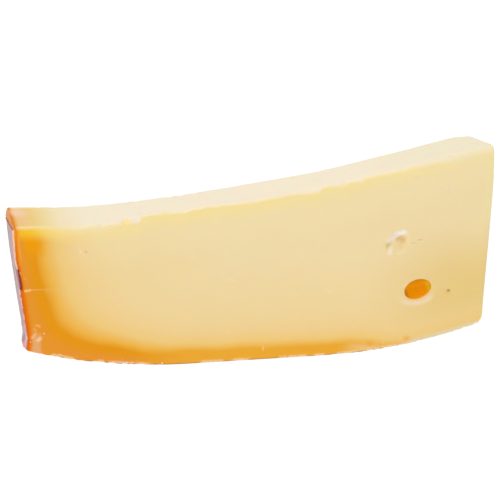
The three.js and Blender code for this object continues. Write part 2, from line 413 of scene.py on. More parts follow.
class Tree:
    """A node tree being built. Each method adds nodes and gives back what comes out of them."""

    def __init__(self, tree):
        self.tree = tree
        self.column = {}
        self.rows = {}

    def feed(self, socket, value):
        """Links a value to a socket, or sets the socket to a plain one."""
        if isinstance(value, Value):
            self.tree.links.new(value.socket, socket)
        elif socket.type == "VECTOR" and isinstance(value, (int, float)):
            socket.default_value = (value,) * 3
        elif socket.type == "RGBA" and len(value) == 3:
            socket.default_value = (*value, 1)
        else:
            socket.default_value = value

    def settle(self, node, given):
        """Feeds some of a node's sockets, and sets the node to the right of all that feeds it."""
        column = 0
        for socket, value in given:
            self.feed(socket, value)
            if isinstance(value, Value):
                column = max(column, self.column.get(value.socket.node.name, 0) + 1)
        self.column[node.name] = column
        self.rows[column] = self.rows.get(column, 0) + 1
        node.location = (column * 200, -self.rows[column] * 240)

    def add(self, kind, inputs=None, out=0, **settings):
        """Adds a node. Inputs are given by identifier or by name."""
        node = self.tree.nodes.new(kind)
        for name, setting in settings.items():
            setattr(node, name, setting)
        sockets = {s.name: s for s in reversed(node.inputs)} | {s.identifier: s for s in node.inputs}
        self.settle(node, [(sockets[name], value) for name, value in (inputs or {}).items()])
        return Value(self, node.outputs[out]) if node.outputs else node

    def math(self, operation, *terms):
        """Arithmetic on numbers, or on vectors if any of the terms is one."""
        has_vector = any(
            t.socket.type == "VECTOR" if isinstance(t, Value) else isinstance(t, tuple) for t in terms
        )
        node = self.tree.nodes.new("ShaderNodeVectorMath" if has_vector else "ShaderNodeMath")
        node.operation = operation
        self.settle(node, zip(node.inputs, terms))
        return Value(self, node.outputs["Value" if operation in ("LENGTH", "DOT_PRODUCT") else 0])

    def least(self, *terms):
        """The least of some values."""
        least = terms[0]
        for term in terms[1:]:
            least = self.math("MINIMUM", least, term)
        return least

    def most(self, *terms):
        """The greatest of some values."""
        most = terms[0]
        for term in terms[1:]:
            most = self.math("MAXIMUM", most, term)
        return most

    def size(self, term):
        """A value without its sign."""
        return self.math("ABSOLUTE", term)

    def bell(self, term, width):
        """A bell curve: 1 where the term is 0, and close to 0 beyond twice the width."""
        share = term / width
        return self.math("EXPONENT", share * share * -1.0)

    def hump(self, term, centre, width):
        """A bell curve round a centre, with both lengths in millimetres."""
        return self.bell(term - centre * MM, width * MM)

    def rise(self, term, low, high):
        """Rises smoothly from 0 to 1 between two places in millimetres, or falls if high is the lower."""
        return self.smooth(term, low * MM, high * MM)

    def smooth(self, term, low, high):
        """Rises smoothly from 0 at low to 1 at high. High may be the lower of the two."""
        turned = not isinstance(low, Value) and not isinstance(high, Value) and low > high
        values = {"Value": term, "From Min": high if turned else low, "From Max": low if turned else high}
        if turned:
            values |= {"To Min": 1.0, "To Max": 0.0}
        return self.add("ShaderNodeMapRange", values, interpolation_type="SMOOTHSTEP")

    def clamp(self, term, low=0.0, high=1.0):
        """A value held between two others."""
        return self.add("ShaderNodeClamp", {"Value": term, "Min": low, "Max": high})

    def mix(self, a, b, factor):
        """Numbers mixed by a factor: a at 0 and b at 1."""
        return self.add("ShaderNodeMix", {"A_Float": a, "B_Float": b, "Factor_Float": factor})

    def tint(self, a, b, factor, blend="MIX"):
        """Colours mixed by a factor: a at 0 and b at 1."""
        inputs = {"A_Color": a, "B_Color": b, "Factor_Float": factor}
        return self.add("ShaderNodeMix", inputs, out=2, data_type="RGBA", blend_type=blend)

    def ramp(self, term, stops):
        """The colour at a distance, from stops that each give a distance in millimetres and a colour."""
        longest = stops[-1][0]
        value = self.add("ShaderNodeValToRGB", {"Fac": term / (longest * MM)}, out="Color")
        elements = value.socket.node.color_ramp.elements
        for distance, _ in stops[1:-1]:
            elements.new(distance / longest)
        for element, (_, shade) in zip(elements, stops):
            element.color = (*shade, 1)
        return value

    def noise(self, place, size, detail=2.0, roughness=0.5, distortion=0.0):
        """Noise from 0 to 1 whose lumps are about as wide as the given millimetres."""
        inputs = {"Vector": place, "Scale": 1 / (size * MM), "Detail": detail}
        inputs |= {"Roughness": roughness, "Distortion": distortion}
        return self.add("ShaderNodeTexNoise", inputs)

    def jitter(self, place, size, reach, detail=3):
        """Noise that swings to both sides of 0, with its lumps and its reach in millimetres."""
        return (self.noise(place, size, detail=detail) - 0.5) * (reach * MM)

    def cells(self, place, size, feature="F1", out="Distance", **settings):
        """Cells about as wide as the given millimetres."""
        inputs = {"Vector": place, "Scale": 1 / (size * MM)}
        return self.add("ShaderNodeTexVoronoi", inputs, out=out, feature=feature, **settings)

    def split(self, vector):
        """The three parts of a vector."""
        whole = self.add("ShaderNodeSeparateXYZ", {"Vector": vector})
        return whole["X"], whole["Y"], whole["Z"]

    def join(self, x, y, z):
        """A vector from its three parts."""
        return self.add("ShaderNodeCombineXYZ", {"X": x, "Y": y, "Z": z})

    def store(self, geometry, name, value, kind, domain="POINT"):
        """A mesh with a value kept in it under a name."""
        inputs = {"Geometry": geometry, "Name": name, "Value": value}
        return self.add("GeometryNodeStoreNamedAttribute", inputs, data_type=kind, domain=domain)

    def stored(self, name, out="Fac"):
        """A value that was kept in the mesh, in a material."""
        return self.add("ShaderNodeAttribute", out=out, attribute_name=name)

    def use(self, group, inputs):
        """Places a node group."""
        kind = "GeometryNodeGroup" if group.tree.bl_idname == GEOMETRY else "ShaderNodeGroup"
        return self.add(kind, inputs, node_tree=group.tree)

    def bump(self, height, strength, distance):
        """A normal bent by a height, over a distance in millimetres."""
        return self.add("ShaderNodeBump", {"Height": height, "Strength": strength, "Distance": distance * MM})

    def curve(self, term, points):
        """A smooth curve through points, read at a share from 0 to 1."""
        value = self.add("ShaderNodeFloatCurve", {"Value": term})
        mapping = value.socket.node.mapping
        points = list(points)
        mapping.use_clip = False
        line = mapping.curves[0].points
        while len(line) < len(points):
            line.new(0, 0)
        for point, (x, y) in zip(line, points):
            point.location = (x, y)
        mapping.update()
        return value


class Group(Tree):
    """A node group with named inputs and outputs."""

    def __init__(self, name, kind, inputs, outputs):
        super().__init__(bpy.data.node_groups.new(name, kind))
        for direction, sockets in (("INPUT", inputs), ("OUTPUT", outputs)):
            for label, kind_of_socket, *default in sockets:
                socket_type = "NodeSocket" + kind_of_socket
                made = self.tree.interface.new_socket(label, in_out=direction, socket_type=socket_type)
                if default:
                    made.default_value = default[0]
        self.entry = self.tree.nodes.new("NodeGroupInput")
        self.exit = self.tree.nodes.new("NodeGroupOutput")
        self.exit.location = (6000, 0)

    def __getitem__(self, name):
        return Value(self, self.entry.outputs[name])

    def give(self, name, value):
        """Sends a value out of the group."""
        self.feed(self.exit.inputs[name], value)


def size_sockets(settings):
    """An input socket for each single length of a property group, with its name and its value."""
    return [
        (prop.name, "Float", getattr(settings, prop.identifier))
        for prop in settings.bl_rna.properties
        if prop.type == "FLOAT" and not prop.is_array
    ]


def nodes_to_mesh(name, group, *settings, start=None):
    """Makes a piece from a geometry node tree, with the tree's inputs set from property groups."""
    piece = bpy.data.objects.new(name, start or bpy.data.meshes.new(name))
    bpy.context.scene.collection.objects.link(piece)
    modifier = piece.modifiers.new(name, "NODES")
    modifier.node_group = group.tree
    identifiers = {item.name: item.identifier for item in group.tree.interface.items_tree}
    for label, _, value in (socket for s in settings for socket in size_sockets(s)):
        if label in identifiers:
            modifier[identifiers[label]] = value
    graph = bpy.context.evaluated_depsgraph_get()
    evaluated = piece.evaluated_get(graph)
    made = bpy.data.meshes.new_from_object(evaluated, preserve_all_data_layers=True, depsgraph=graph)
    piece.modifiers.remove(modifier)
    piece.data = made
    made.name = name
    if not made.polygons:
        raise RuntimeError(f"{name} came out empty")
    return piece


def smooth_shaded(g, mesh):
    """A mesh shaded smooth, but for its sharp edges."""
    smooth = g.add("GeometryNodeSetShadeSmooth", {"Geometry": mesh, "Shade Smooth": True})
    bend = g.add("GeometryNodeInputMeshEdgeAngle", out="Unsigned Angle")
    sharp = {"Geometry": smooth, "Selection": bend > SHARP_BEND, "Shade Smooth": False}
    return g.add("GeometryNodeSetShadeSmooth", sharp, domain="EDGE")


def material(name):
    """An empty material, as a tree to build and the material itself."""
    made = bpy.data.materials.new(name)
    made.use_nodes = True
    made.node_tree.nodes.clear()
    return Tree(made.node_tree), made


def finish(tree, settings, base, roughness, normal=None):
    """Ends a material in a Principled shader. Settings are plain, and the rest varies over the surface."""
    varying = {"Base Color": base, "Roughness": roughness}
    if normal:
        varying["Normal"] = normal
    shader = tree.add("ShaderNodeBsdfPrincipled", settings | varying)
    tree.add("ShaderNodeOutputMaterial", {"Surface": shader})


def place_on_object(tree):
    """Where a point of the surface is, in the object's own frame."""
    return tree.add("ShaderNodeTexCoord", out="Object")


# ---------------------------------------------------------------------------------------------------------
# The block's shape

EDGE_LINES = 4
GRID = (260, 34, 132)
LABEL_GRID = (1, 96, 120)
ROUNDS = 5
SHARP_BEND = math.radians(50)


def smooth_heights(values, points=25):
    """Points on the smooth curve through evenly spaced heights, from share 0 to share 1."""
    last = len(values) - 1
    for step in range(points):
        place = step / (points - 1) * last
        i = min(int(place), last - 1)
        t = place - i
        before, start, end, after = (values[min(max(n, 0), last)] for n in (i - 1, i, i + 1, i + 2))
        leaving, arriving = (end - before) / 2, (after - start) / 2
        height = (
            start * (2 * t**3 - 3 * t**2 + 1)
            + leaving * (t**3 - 2 * t**2 + t)
            + end * (3 * t**2 - 2 * t**3)
            + arriving * (t**3 - t**2)
        )
        yield step / (points - 1), height


def spacing(spot, width, closer, points=33):
    """Where evenly numbered grid lines lie, from 0 to 1, when they are closer together around a spot."""
    steps = 2000
    density = [1 + closer * math.exp(-(((n + 0.5) / steps - spot) / width) ** 2) for n in range(steps)]
    total, passed, wanted = sum(density), 0.0, 0
    for n, here in enumerate(density + [0]):
        while wanted < points and passed >= total * wanted / (points - 1) - 1e-9:
            yield wanted / (points - 1), n / steps
            wanted += 1
        passed += here


def edge_steps(g, x):
    """How far the steps in the front edge of the top lower it at a place."""
    lowered = 0.0
    for at, sink, run, lift, half in EDGE_STEPS:
        before = g.clamp((x - (at - run) * MM) / (run * MM)) * g.rise(x, at + half, at - half)
        lowered = lowered + before * (sink * MM)
        if lift:
            behind = g.rise(x, at - half, at + half) * g.rise(x, at + STEP_TAIL, at)
            lowered = lowered - behind * (lift * MM)
    return lowered


def wedge_limits(shape, relief):
    """A group that says where the block's six faces lie, seen from a place in or on it."""
    outputs = ("Rind End", "Tip End", "Half Thickness", "Bottom", "Top", "Edge Radius", "End Radius")
    sizes = size_sockets(shape) + size_sockets(relief)
    g = Group(
        "Wedge Limits", GEOMETRY, [("Position", "Vector")] + sizes, [(name, "Float") for name in outputs]
    )
    position = g["Position"]
    x, y, z = g.split(position)
    from_middle = x - g["Middle"]
    along = g.clamp(from_middle / g["Length"] + 0.5)
    half = g.mix(g["Rind End Thickness"], g["Tip End Thickness"], along) * 0.5
    radius = g.mix(g["Rind End Edge Radius"], g["Tip End Edge Radius"], along**3.0)
    end_radius = radius * g.mix(1.0, g["Tip Corner"], g.rise(z, 45, 78) * along)
    end_radius = end_radius * g.mix(1.0, g["Tip Foot Corner"], g.rise(z, 22, 10) * along)
    waver = g.noise(position, 13, detail=3) * g["Edge Waves"]

    past = g.most(g.size(from_middle - g["Flat Centre"]) - g["Flat Length"] * 0.5, 0.0)
    curve_drop = g.math("SQRT", g["Wheel Radius"] ** 2.0 - past * past)
    lifted = g.smooth(g.noise(position, 14), 0.4, 0.75) * g["Edge Waves"] * g.rise(past, 0, 4)
    bottom = g["Wheel Radius"] - curve_drop + lifted

    front = g.curve(along, smooth_heights(shape.front_heights))
    back = g.curve(along, smooth_heights(shape.back_heights))
    top = g.mix(front, back, (y / half + 1.0) * 0.5)
    from_front = y + half
    nibbles = g.split(g.cells(g.join(x, 0.0, 0.0), 9, feature="SMOOTH_F1", out="Color"))[0]
    chip = g.hump(x, EDGE_CHIP[0], EDGE_CHIP[1] * 0.6) * g["Top Edge Chip"]
    small = (nibbles * g["Top Edge Nibbles"] + chip) * g.rise(from_front, 2.4, 0)
    top = top - small - edge_steps(g, x) * g.rise(from_front, 6, 0) - waver
    at_tip = g.rise(g["Length"] * 0.5 - from_middle, 9, 0)
    top = top - at_tip * g.clamp((y / half + 1.0) * 0.5) * g["Tip Top Round"]

    back_share = y / g["Rind End Thickness"] + 0.5
    rind_down = g.rise(z, 62, 2)
    rind_end = g["Middle"] - g["Length"] * 0.5
    rind_end = rind_end + g["Rind End Inset"] * rind_down + g["Rind End Skew"] * back_share
    across_end = g.rise(y, 10, -7) * g.mix(1.0, 0.45, g.rise(y, -15, -19))
    bulge = g.rise(z, 14.5, 10) * across_end * g["Rind End Bulge"]
    bulge = bulge - g.rise(y, 6, 18) * g.rise(z, 22, 12) * (0.3 * MM)
    bulge = bulge + g.hump(top - z, 3.2, 1.7) * g.clamp(back_share) * g["Rind Rim"]
    dent_height = g.rise(z, 33, 38) * g.rise(z, 49, 43)
    dent = dent_height * g.rise(from_front, 4.2, -0.6) * g["Rind End Dent"]
    rind_end = rind_end + dent + waver - bulge
    tip_down = g.rise(z, 76, 0)
    tip_end = g["Middle"] + g["Length"] * 0.5 - g["Tip End Inset"] * tip_down - waver
    for name, value in zip(outputs, (rind_end, tip_end, half, bottom, top, radius, end_radius)):
        g.give(name, value)
    return g


def grid_share(g, share, steps, lines):
    """How many edge radii, and what share of the stretch between the edges, a grid line is from its start."""
    number = share * float(steps)
    near = g.least(number, float(EDGE_LINES)) * (1 / EDGE_LINES)
    far = g.least(float(steps) - number, float(EDGE_LINES)) * (1 / EDGE_LINES)
    middle = g.clamp((number - float(EDGE_LINES)) / float(steps - 2 * EDGE_LINES))
    return near - far + 1.0, g.curve(middle, lines)


def face_wander(g, limits, x, y, z):
    """How far the knife's wander moves a cut face, along Y."""
    turns = 2 * math.pi
    side = g.math("SIGN", y)
    from_middle = x - g["Middle"]
    wave = g.math("SINE", from_middle * turns / g["Knife Wander Length"] + side)
    wave = wave * g.math("SINE", z * turns / g["Knife Wander Length"])
    on_face = g.size(y) > limits["Half Thickness"] - limits["Edge Radius"]
    return wave * g["Knife Wander"] * g.clamp((z - limits["Bottom"]) / (10 * MM)) * side * on_face


def eye_place(eye, x, z):
    """Where a point lies in the plane of an eye's opening, along and across its long axis."""
    cos, sin = math.cos(eye.tilt), math.sin(eye.tilt)
    right, up = x - eye.x, z - eye.z
    return right * cos + up * sin, up * cos - right * sin


def eye_lips(g, eyes, x, y, z):
    """How far the cut faces round into the eyes, most at their lower edge."""
    lips = 0.0
    for eye in eyes:
        along, across = eye_place(eye, x, z)
        reach = g.math("SQRT", (along / (eye.width / 2)) ** 2.0 + (across / (eye.height / 2)) ** 2.0)
        beyond = g.most(reach - 1.0, 0.0) * (eye.width + eye.height) / 4
        small = min(1, eye.height / (8 * MM))
        lower = g.smooth(across, eye.height * 0.1, -eye.height * 0.5) * 1.0 + 0.45
        on_side = (y * (1.0 if eye.back else -1.0)) > 0.0
        lips = lips + g.bell(beyond, 1.5 * MM * small) * lower * on_side * (g["Eye Lip"] * small)
    return lips


def broken_eye(g, x, y, z):
    """The depth of the shallow broken eye: a torn dish with a ridge of curd round its upper left."""
    place = g.join(x, 0.0, z)
    right, up = x - BROKEN_EYE[0] * MM, z - BROKEN_EYE[1] * MM
    ragged = g.jitter(place, 2.2, 2.2)
    dish = g.rise(g.math("SQRT", right * right + (up / 1.12) ** 2.0) + ragged, 5.6, 2.2)

    def lump(to_right, to_up, width):
        return g.bell(g.math("LENGTH", g.join(right - to_right * MM, 0.0, up - to_up * MM)), width * MM)

    hollows = lump(2.4, 1.2, 1.9) * 0.45 + lump(-3.5, -1.0, 1.1) * 0.5
    ridges = lump(1.6, 4.6, 1.6) * 0.35 + lump(-2.6, 2.4, 1.4) * 0.4 + lump(-3.0, -3.6, 1.3) * 0.35
    form = dish * 0.55 + hollows - ridges
    return g.most(form, 0.0) * g["Dish Depth"] * (y < 0.0)


def eye_cutters(g, eyes):
    """The lumpy ellipsoids that are cut out of the block to leave its eyes."""
    shapes = []
    for eye in eyes:
        deep = eye.depth - eye.setback
        at_face = math.sqrt(1 - (eye.setback / deep) ** 2)
        radii = (eye.width / 2 / at_face, deep, eye.height / 2 / at_face)
        segments = 64 if eye.width > 5 * MM else 16
        ball = {"Segments": segments, "Rings": segments // 2, "Radius": 1.0}
        ball = g.add("GeometryNodeMeshUVSphere", ball)
        sized = g.add("GeometryNodeTransform", {"Geometry": ball, "Scale": radii})
        place = g.add("GeometryNodeInputPosition")
        lumps = (g.noise(place, 5, detail=2) - 0.5) * (eye.height * 0.09)
        outwards = g.add("GeometryNodeInputNormal")
        lumpy = g.add("GeometryNodeSetPosition", {"Geometry": sized, "Offset": outwards * lumps})
        side = 1 if eye.back else -1
        half = (THICKNESS_AT_BACK_EYES if eye.back else THICKNESS_AT_FRONT_EYES) / 2 * MM
        moved = g.add("GeometryNodeTransform", {
            "Geometry": lumpy,
            "Translation": (eye.x, side * (half - eye.setback), eye.z),
            "Rotation": (0, -eye.tilt, 0),
        })
        shapes.append(moved)
    joined = g.add("GeometryNodeJoinGeometry")
    for shape in shapes:
        g.feed(joined.socket.node.inputs[0], shape)
    return joined


def block_tree(wedge, materials):
    """The tree that makes the block: a grid shaped to the wedge, with its relief, eyes and finishes."""
    shape, relief = wedge.shape, wedge.relief
    limits_group = wedge_limits(shape, relief)
    sizes = size_sockets(shape) + size_sockets(relief)
    g = Group("Cheese Block", GEOMETRY, sizes, [("Geometry", "Geometry")])
    named = {name: g[name] for name, _, _ in sizes}

    def limits_at(position):
        return g.use(limits_group, {"Position": position} | named)

    counts = {f"Vertices {axis}": steps + 1 for axis, steps in zip("XYZ", GRID)}
    grid = g.add("GeometryNodeMeshCube", {"Size": 1.0} | counts)
    shares = g.split(g.add("GeometryNodeInputPosition") + 0.5)
    lines = (spacing(0.83, 0.1, 1.6), spacing(0.5, 1.0, 0.0), spacing(0.5, 0.28, 1.4))
    places = [grid_share(g, *each) for each in zip(shares, GRID, lines)]
    (edge_x, middle_x), (edge_y, middle_y), (edge_z, middle_z) = places

    # Each grid place's x, y and z depend on one another, so they are worked out in rounds.
    here = g.join((shares[0] - 0.5) * g["Length"], 0.0, MID_HEIGHT)
    for _ in range(ROUNDS):
        limits = limits_at(here)
        radius, half, foot = limits["Edge Radius"], limits["Half Thickness"], limits["Bottom"]
        x = limits["Rind End"] + limits["End Radius"] * edge_x
        x = x + (limits["Tip End"] - limits["Rind End"] - limits["End Radius"] * 2.0) * middle_x
        y = radius * edge_y + (half - radius) * 2.0 * middle_y - half
        z = foot + radius * edge_z + (limits["Top"] - foot - radius * 2.0) * middle_z
        here = g.join(x, y, z)
    limits = limits_at(here)
    radius, half, foot = limits["Edge Radius"], limits["Half Thickness"], limits["Bottom"]
    reach = g.join(limits["End Radius"], radius, radius)
    core = g.join(
        g.clamp(x, limits["Rind End"] + limits["End Radius"], limits["Tip End"] - limits["End Radius"]),
        g.clamp(y, radius - half, half - radius),
        g.clamp(z, foot + radius, limits["Top"] - radius),
    )
    rounded = core + g.math("NORMALIZE", (here - core) / reach) * reach
    wandered = rounded + g.join(0.0, face_wander(g, limits, x, y, z), 0.0)
    block = g.add("GeometryNodeSetPosition", {"Geometry": grid, "Position": wandered})

    # The relief only ever goes inwards, so the block stays inside its frame.
    position = g.add("GeometryNodeInputPosition")
    x, y, z = g.split(position)
    limits = limits_at(position)
    from_rind_end = x - limits["Rind End"]
    from_tip_end = limits["Tip End"] - x
    from_side = limits["Half Thickness"] - g.size(y)
    from_foot = z - limits["Bottom"]
    from_top = limits["Top"] - z
    end, upright = g.least(from_rind_end, from_tip_end), g.least(from_foot, from_top)
    first, second = g.least(end, from_side), g.most(end, from_side)
    from_edge = g.most(first, g.least(second, upright))
    on_rind = g.rise(g.least(from_rind_end, from_foot), 0.8, 0.2)
    clear_of_flat = g.rise(z, 0.15, 0.9)
    swell = g.noise(position, 36, detail=1) * g["Cut Face Swell"]
    dragged = g.join(x * 0.16, y * 1.0, z * 1.0)
    drag = g.noise(dragged, 1.9, detail=3, roughness=0.6) * g["Drag Marks"]
    crumbled = g.smooth(g.noise(position, 3.2, detail=4, roughness=0.6), 0.5, 0.72)
    kept = g.least(g.rise(from_foot, 1, 4), g.rise(from_rind_end, 0.5, 2))
    chips = crumbled * g.bell(from_edge, 1.3 * MM) * g.mix(0.25, 1.0, kept) * g["Chip Depth"]
    folds = g.noise(position, 5, detail=5, roughness=0.62, distortion=1.2)
    wrinkles = g.smooth(g.size(folds - 0.5), 0.12, 0.0) * on_rind * g["Rind Wrinkles"]
    depth = (swell + drag) * (1.0 - on_rind) + chips + wrinkles
    depth = depth * clear_of_flat + eye_lips(g, wedge.eyes, x, y, z) + broken_eye(g, x, y, z)
    inwards = g.add("GeometryNodeInputNormal") * (depth * -1.0)
    worn = g.add("GeometryNodeSetPosition", {"Geometry": block, "Offset": inwards})

    cutters = eye_cutters(g, wedge.eyes)
    marked = g.store(cutters, "eye_wall", True, "BOOLEAN", domain="FACE")
    both = {"Mesh 1": worn, "Mesh 2": marked}
    cut = g.add("GeometryNodeMeshBoolean", both, operation="DIFFERENCE", solver="MANIFOLD")

    # What the finishes need to know about each point: how far it is from the rind end, the top and the foot.
    position = g.add("GeometryNodeInputPosition")
    x, y, z = g.split(position)
    limits = limits_at(position)
    depths = g.join(x - limits["Rind End"], limits["Top"] - z, z - limits["Bottom"])
    known = g.store(cut, "depths", depths, "FLOAT_VECTOR")
    known = g.store(known, "into", limits["Half Thickness"] - g.size(y), "FLOAT")
    whole = g.add("GeometryNodeRealizeInstances", {"Geometry": smooth_shaded(g, known)})
    eye_wall = g.add("GeometryNodeInputNamedAttribute", {"Name": "eye_wall"}, data_type="BOOLEAN")
    outer = g.least(x - limits["Rind End"], z - limits["Bottom"]) < limits["Edge Radius"] * 0.3
    for finish_name, where in (("paste", True), ("rind", outer), ("eye", eye_wall)):
        dressed = {"Geometry": whole, "Selection": where, "Material": materials[finish_name]}
        whole = g.add("GeometryNodeSetMaterial", dressed)
    g.give("Geometry", whole)
    return g


# ---------------------------------------------------------------------------------------------------------
# Finishes

# Shades beside those that a user can change. The ones in plain shares darken what they are laid over.
TOP_PINK = rgb(243, 210, 182)
TOP_FLAKE = rgb(240, 226, 216)
TOP_LIT_EDGE = rgb(248, 222, 162)
TOP_SHADE_BY_TIP = (0.96, 0.975, 0.93)
TOP_STREAK = (0.87, 0.82, 0.7)
FADED_FOOT = rgb(240, 196, 118)
LIT_UPPER_CREAM = rgb(245, 226, 178)
TIP_CREAM = rgb(238, 226, 168)
COOL_SHADE_BY_TIP = (0.99, 0.995, 1.0)
WARM_MOTTLE = (1.0, 0.94, 0.88)
COOL_MOTTLE = (0.97, 1.0, 0.92)
DRY_CORNER = rgb(231, 176, 116)
HIGH_RIND_LINE = rgb(240, 144, 0)
PALE_RIND_RIM = rgb(255, 216, 178)
LIT_RIND_LINE = rgb(248, 168, 58)
FOOT_SPOT = rgb(242, 166, 56)
EYE_FRINGE_ORANGE = rgb(240, 172, 72)
SHADED_EYE_RIM = rgb(198, 134, 40)
LOW_RIND_EDGE = rgb(208, 114, 70)
HIGH_RIND_EDGE = rgb(253, 214, 176)
LIT_EYE_YELLOW = rgb(244, 208, 32)
SHADED_EYE_OLIVE = rgb(206, 140, 30)
EYE_ORANGE = rgb(250, 170, 0)
DARK_PAPER = (0.16, 0.0, 0.018)
PALE_PAPER = rgb(250, 178, 182)
DARK_CRUMB = (0.86, 0.62, 0.36)
DARK_FLOOR = (0.05, 0.05, 0.05)
PASTE_SCATTER = (1.0, 0.55, 0.2)
EYE_SCATTER = (1.0, 0.5, 0.15)

# The rind where it is cut through, from its outside inwards: the distance in millimetres, and its colour.
RIND_LINE = (
    (0, rgb(214, 120, 84)), (0.3, rgb(214, 103, 38)), (0.7, rgb(222, 106, 4)), (1.2, rgb(236, 122, 0)),
    (2.0, rgb(236, 134, 10)),
)

# Dusty stretches of the foot: x, half the length and the height of each. Amber spots low in the front face: x
# and z of each. And how thick the threads of the cloth were that the rind was pressed in.
DUSTY_FOOT = ((-85, 6, 4.5), (-60, 8, 2.6), (50, 10, 2.6), (60, 6, 2.6))
FOOT_SPOTS = ((48.7, 4.2), (65, 5.6))
CLOTH_THREAD = 1.1 * MM


def fine_grain():
    """A group for the fine grain of cheese: a height for a bump and a mask of small pits."""
    g = Group(
        "Fine Grain", SHADER,
        [("Position", "Vector"), ("Grain Size", "Float", 0.9 * MM), ("Pit Size", "Float", 2.5 * MM)],
        [("Height", "Float"), ("Pits", "Float"), ("Mottle", "Float")],
    )
    place = g["Position"]
    lumps = {"Vector": place / g["Grain Size"], "Scale": 1.0, "Detail": 4.0, "Roughness": 0.6}
    grain = g.add("ShaderNodeTexNoise", lumps)
    holes = g.add("ShaderNodeTexVoronoi", {"Vector": place / g["Pit Size"], "Scale": 1.0}, out="Distance")
    pits = g.smooth(holes, 0.16, 0.04)
    g.give("Height", grain * 0.5 - pits * 0.7)
    g.give("Pits", pits)
    g.give("Mottle", g.noise(place, 17, detail=4, roughness=0.55))
    return g


def bloom_dust():
    """A group for the dry white bloom: a mask of dusty flecks, from how much of it lies at a place."""
    g = Group("Bloom Dust", SHADER, [("Position", "Vector"), ("Amount", "Float", 0.5)], [("Mask", "Float")])
    place = g["Position"]
    clouds = g.noise(place, 7, detail=4, roughness=0.65)
    flecks = g.noise(place, 1.1, detail=3, roughness=0.7)
    level = clouds * 0.55 + flecks * 0.45 + g["Amount"] - 0.95
    g.give("Mask", g.smooth(level, 0.0, 0.16))
    return g


def stroke():
    """A group for a soft stroke between two places on the front face, as a mask with a ragged edge."""
    g = Group(
        "Stroke", SHADER,
        [("Position", "Vector"), ("From", "Vector"), ("To", "Vector"), ("Width", "Float", 0.4 * MM)],
        [("Mask", "Float")],
    )
    place = g["Position"]
    run, offset = g["To"] - g["From"], place - g["From"]
    length = g.math("LENGTH", run)
    share = g.clamp(g.math("DOT_PRODUCT", offset, run) / (length * length))
    reached = g.add("ShaderNodeVectorMath", {"Vector": run, "Scale": share}, operation="SCALE")
    ragged = g.noise(place, 1.5, detail=3) * 1.2 + 0.4
    distance = g.math("LENGTH", offset - reached) / (g["Width"] * ragged)
    g.give("Mask", g.smooth(distance, 1.0, 0.0))
    return g


def near(t, place, centre, reach, power=1.0):
    """A soft mask round a place, with a reach in each direction."""
    offset = (place - centre) / reach
    return t.smooth(t.math("LENGTH", offset), 1.0, 0.0) ** power


def top_finish(t, place, colours, depths, into):
    """The top, painted pale for the stronger light from above: how much of it shows at a place, and its
    colour.
    """
    x, y, _ = t.split(place)
    from_rind_end, from_top, _ = depths
    flake = t.hump(x, *EDGE_FLAKE)
    over_edge = t.rise(x, -56, -68) * t.rise(x, -92, -80)
    by_tip = t.rise(x, 66, 74) * 0.9 + t.rise(x, 76, 86) * 1.7 + t.hump(x, 91, 4) * 0.8
    reach = (by_tip + over_edge * 2.0 + flake * 0.9 + 0.8) * MM
    ragged = t.jitter(place, 3, 0.9)
    soft = over_edge * (0.6 * MM) + 0.6 * MM
    shown = t.smooth((from_top + ragged - reach) / soft, 1.0, -1.0)
    chip = t.most(1.0 - t.size(x - EDGE_CHIP[0] * MM) / (EDGE_CHIP[1] * MM), 0.0)
    chip = chip * (EDGE_CHIP_REACH * MM) * (y < 0.0)
    shown = shown * t.rise(chip - into, 1.6, -1.6)
    base = t.ramp(from_rind_end, (
        (0, rgb(190, 96, 44)), (0.6, rgb(206, 116, 40)), (1.2, rgb(234, 144, 44)), (1.9, rgb(240, 172, 90)),
        (2.8, rgb(241, 190, 124)), (6, rgb(239, 197, 132)), (9.5, colours.top_golden),
        (13.7, rgb(238, 214, 150)), (20, rgb(243, 225, 183)), (32, colours.top),
    ))
    pink = near(t, place, mm(-98, 9, 62), mm(5, 12, 9))
    base = t.tint(base, TOP_PINK, pink * 0.8)
    base = t.tint(base, TOP_FLAKE, flake * t.rise(into, 5, 2) * 0.7)
    # Painted shade: the top darkens towards the tip end.
    base = t.tint(base, TOP_SHADE_BY_TIP, t.rise(x, 40, 85), blend="MULTIPLY")
    streaks = t.noise(t.join(x * 0.12, y, 0.0), 2.4, detail=3, roughness=0.6)
    base = t.tint(base, TOP_STREAK, t.smooth(streaks, 0.5, 0.8) * 0.3, blend="MULTIPLY")
    lit_edge = t.rise(into, 5, 1.5) * t.rise(x, -76, -92)
    lit_edge = lit_edge * t.rise(from_rind_end, 1, 2)
    return shown, t.tint(base, TOP_LIT_EDGE, lit_edge * 0.7)


def along_foot(t, x, stretches):
    """A mask along the foot that is 1 within each of some stretches."""
    mask = 0.0
    for start, end in stretches:
        mask = mask + t.rise(x, start - 0.7, start + 0.7) * t.rise(x, end + 0.7, end - 0.7)
    return mask


def foot_wear(t, place, colours, from_foot, base):
    """Rubs the foot pale in places, and lets its thin dark skin show in others."""
    x = t.split(place)[0]
    broken = t.smooth(t.noise(place, 2.5, detail=4, roughness=0.65), 0.3, 0.5)
    pale = along_foot(t, x, PALE_FOOT) * t.rise(from_foot, 1.7, 0.8) * broken
    base = t.tint(base, colours.foot_pale, pale * 0.8)
    dark = along_foot(t, x, DARK_FOOT) * t.rise(from_foot, 0.75, 0.35)
    return t.tint(base, colours.foot_skin, t.clamp(dark) * 0.75)


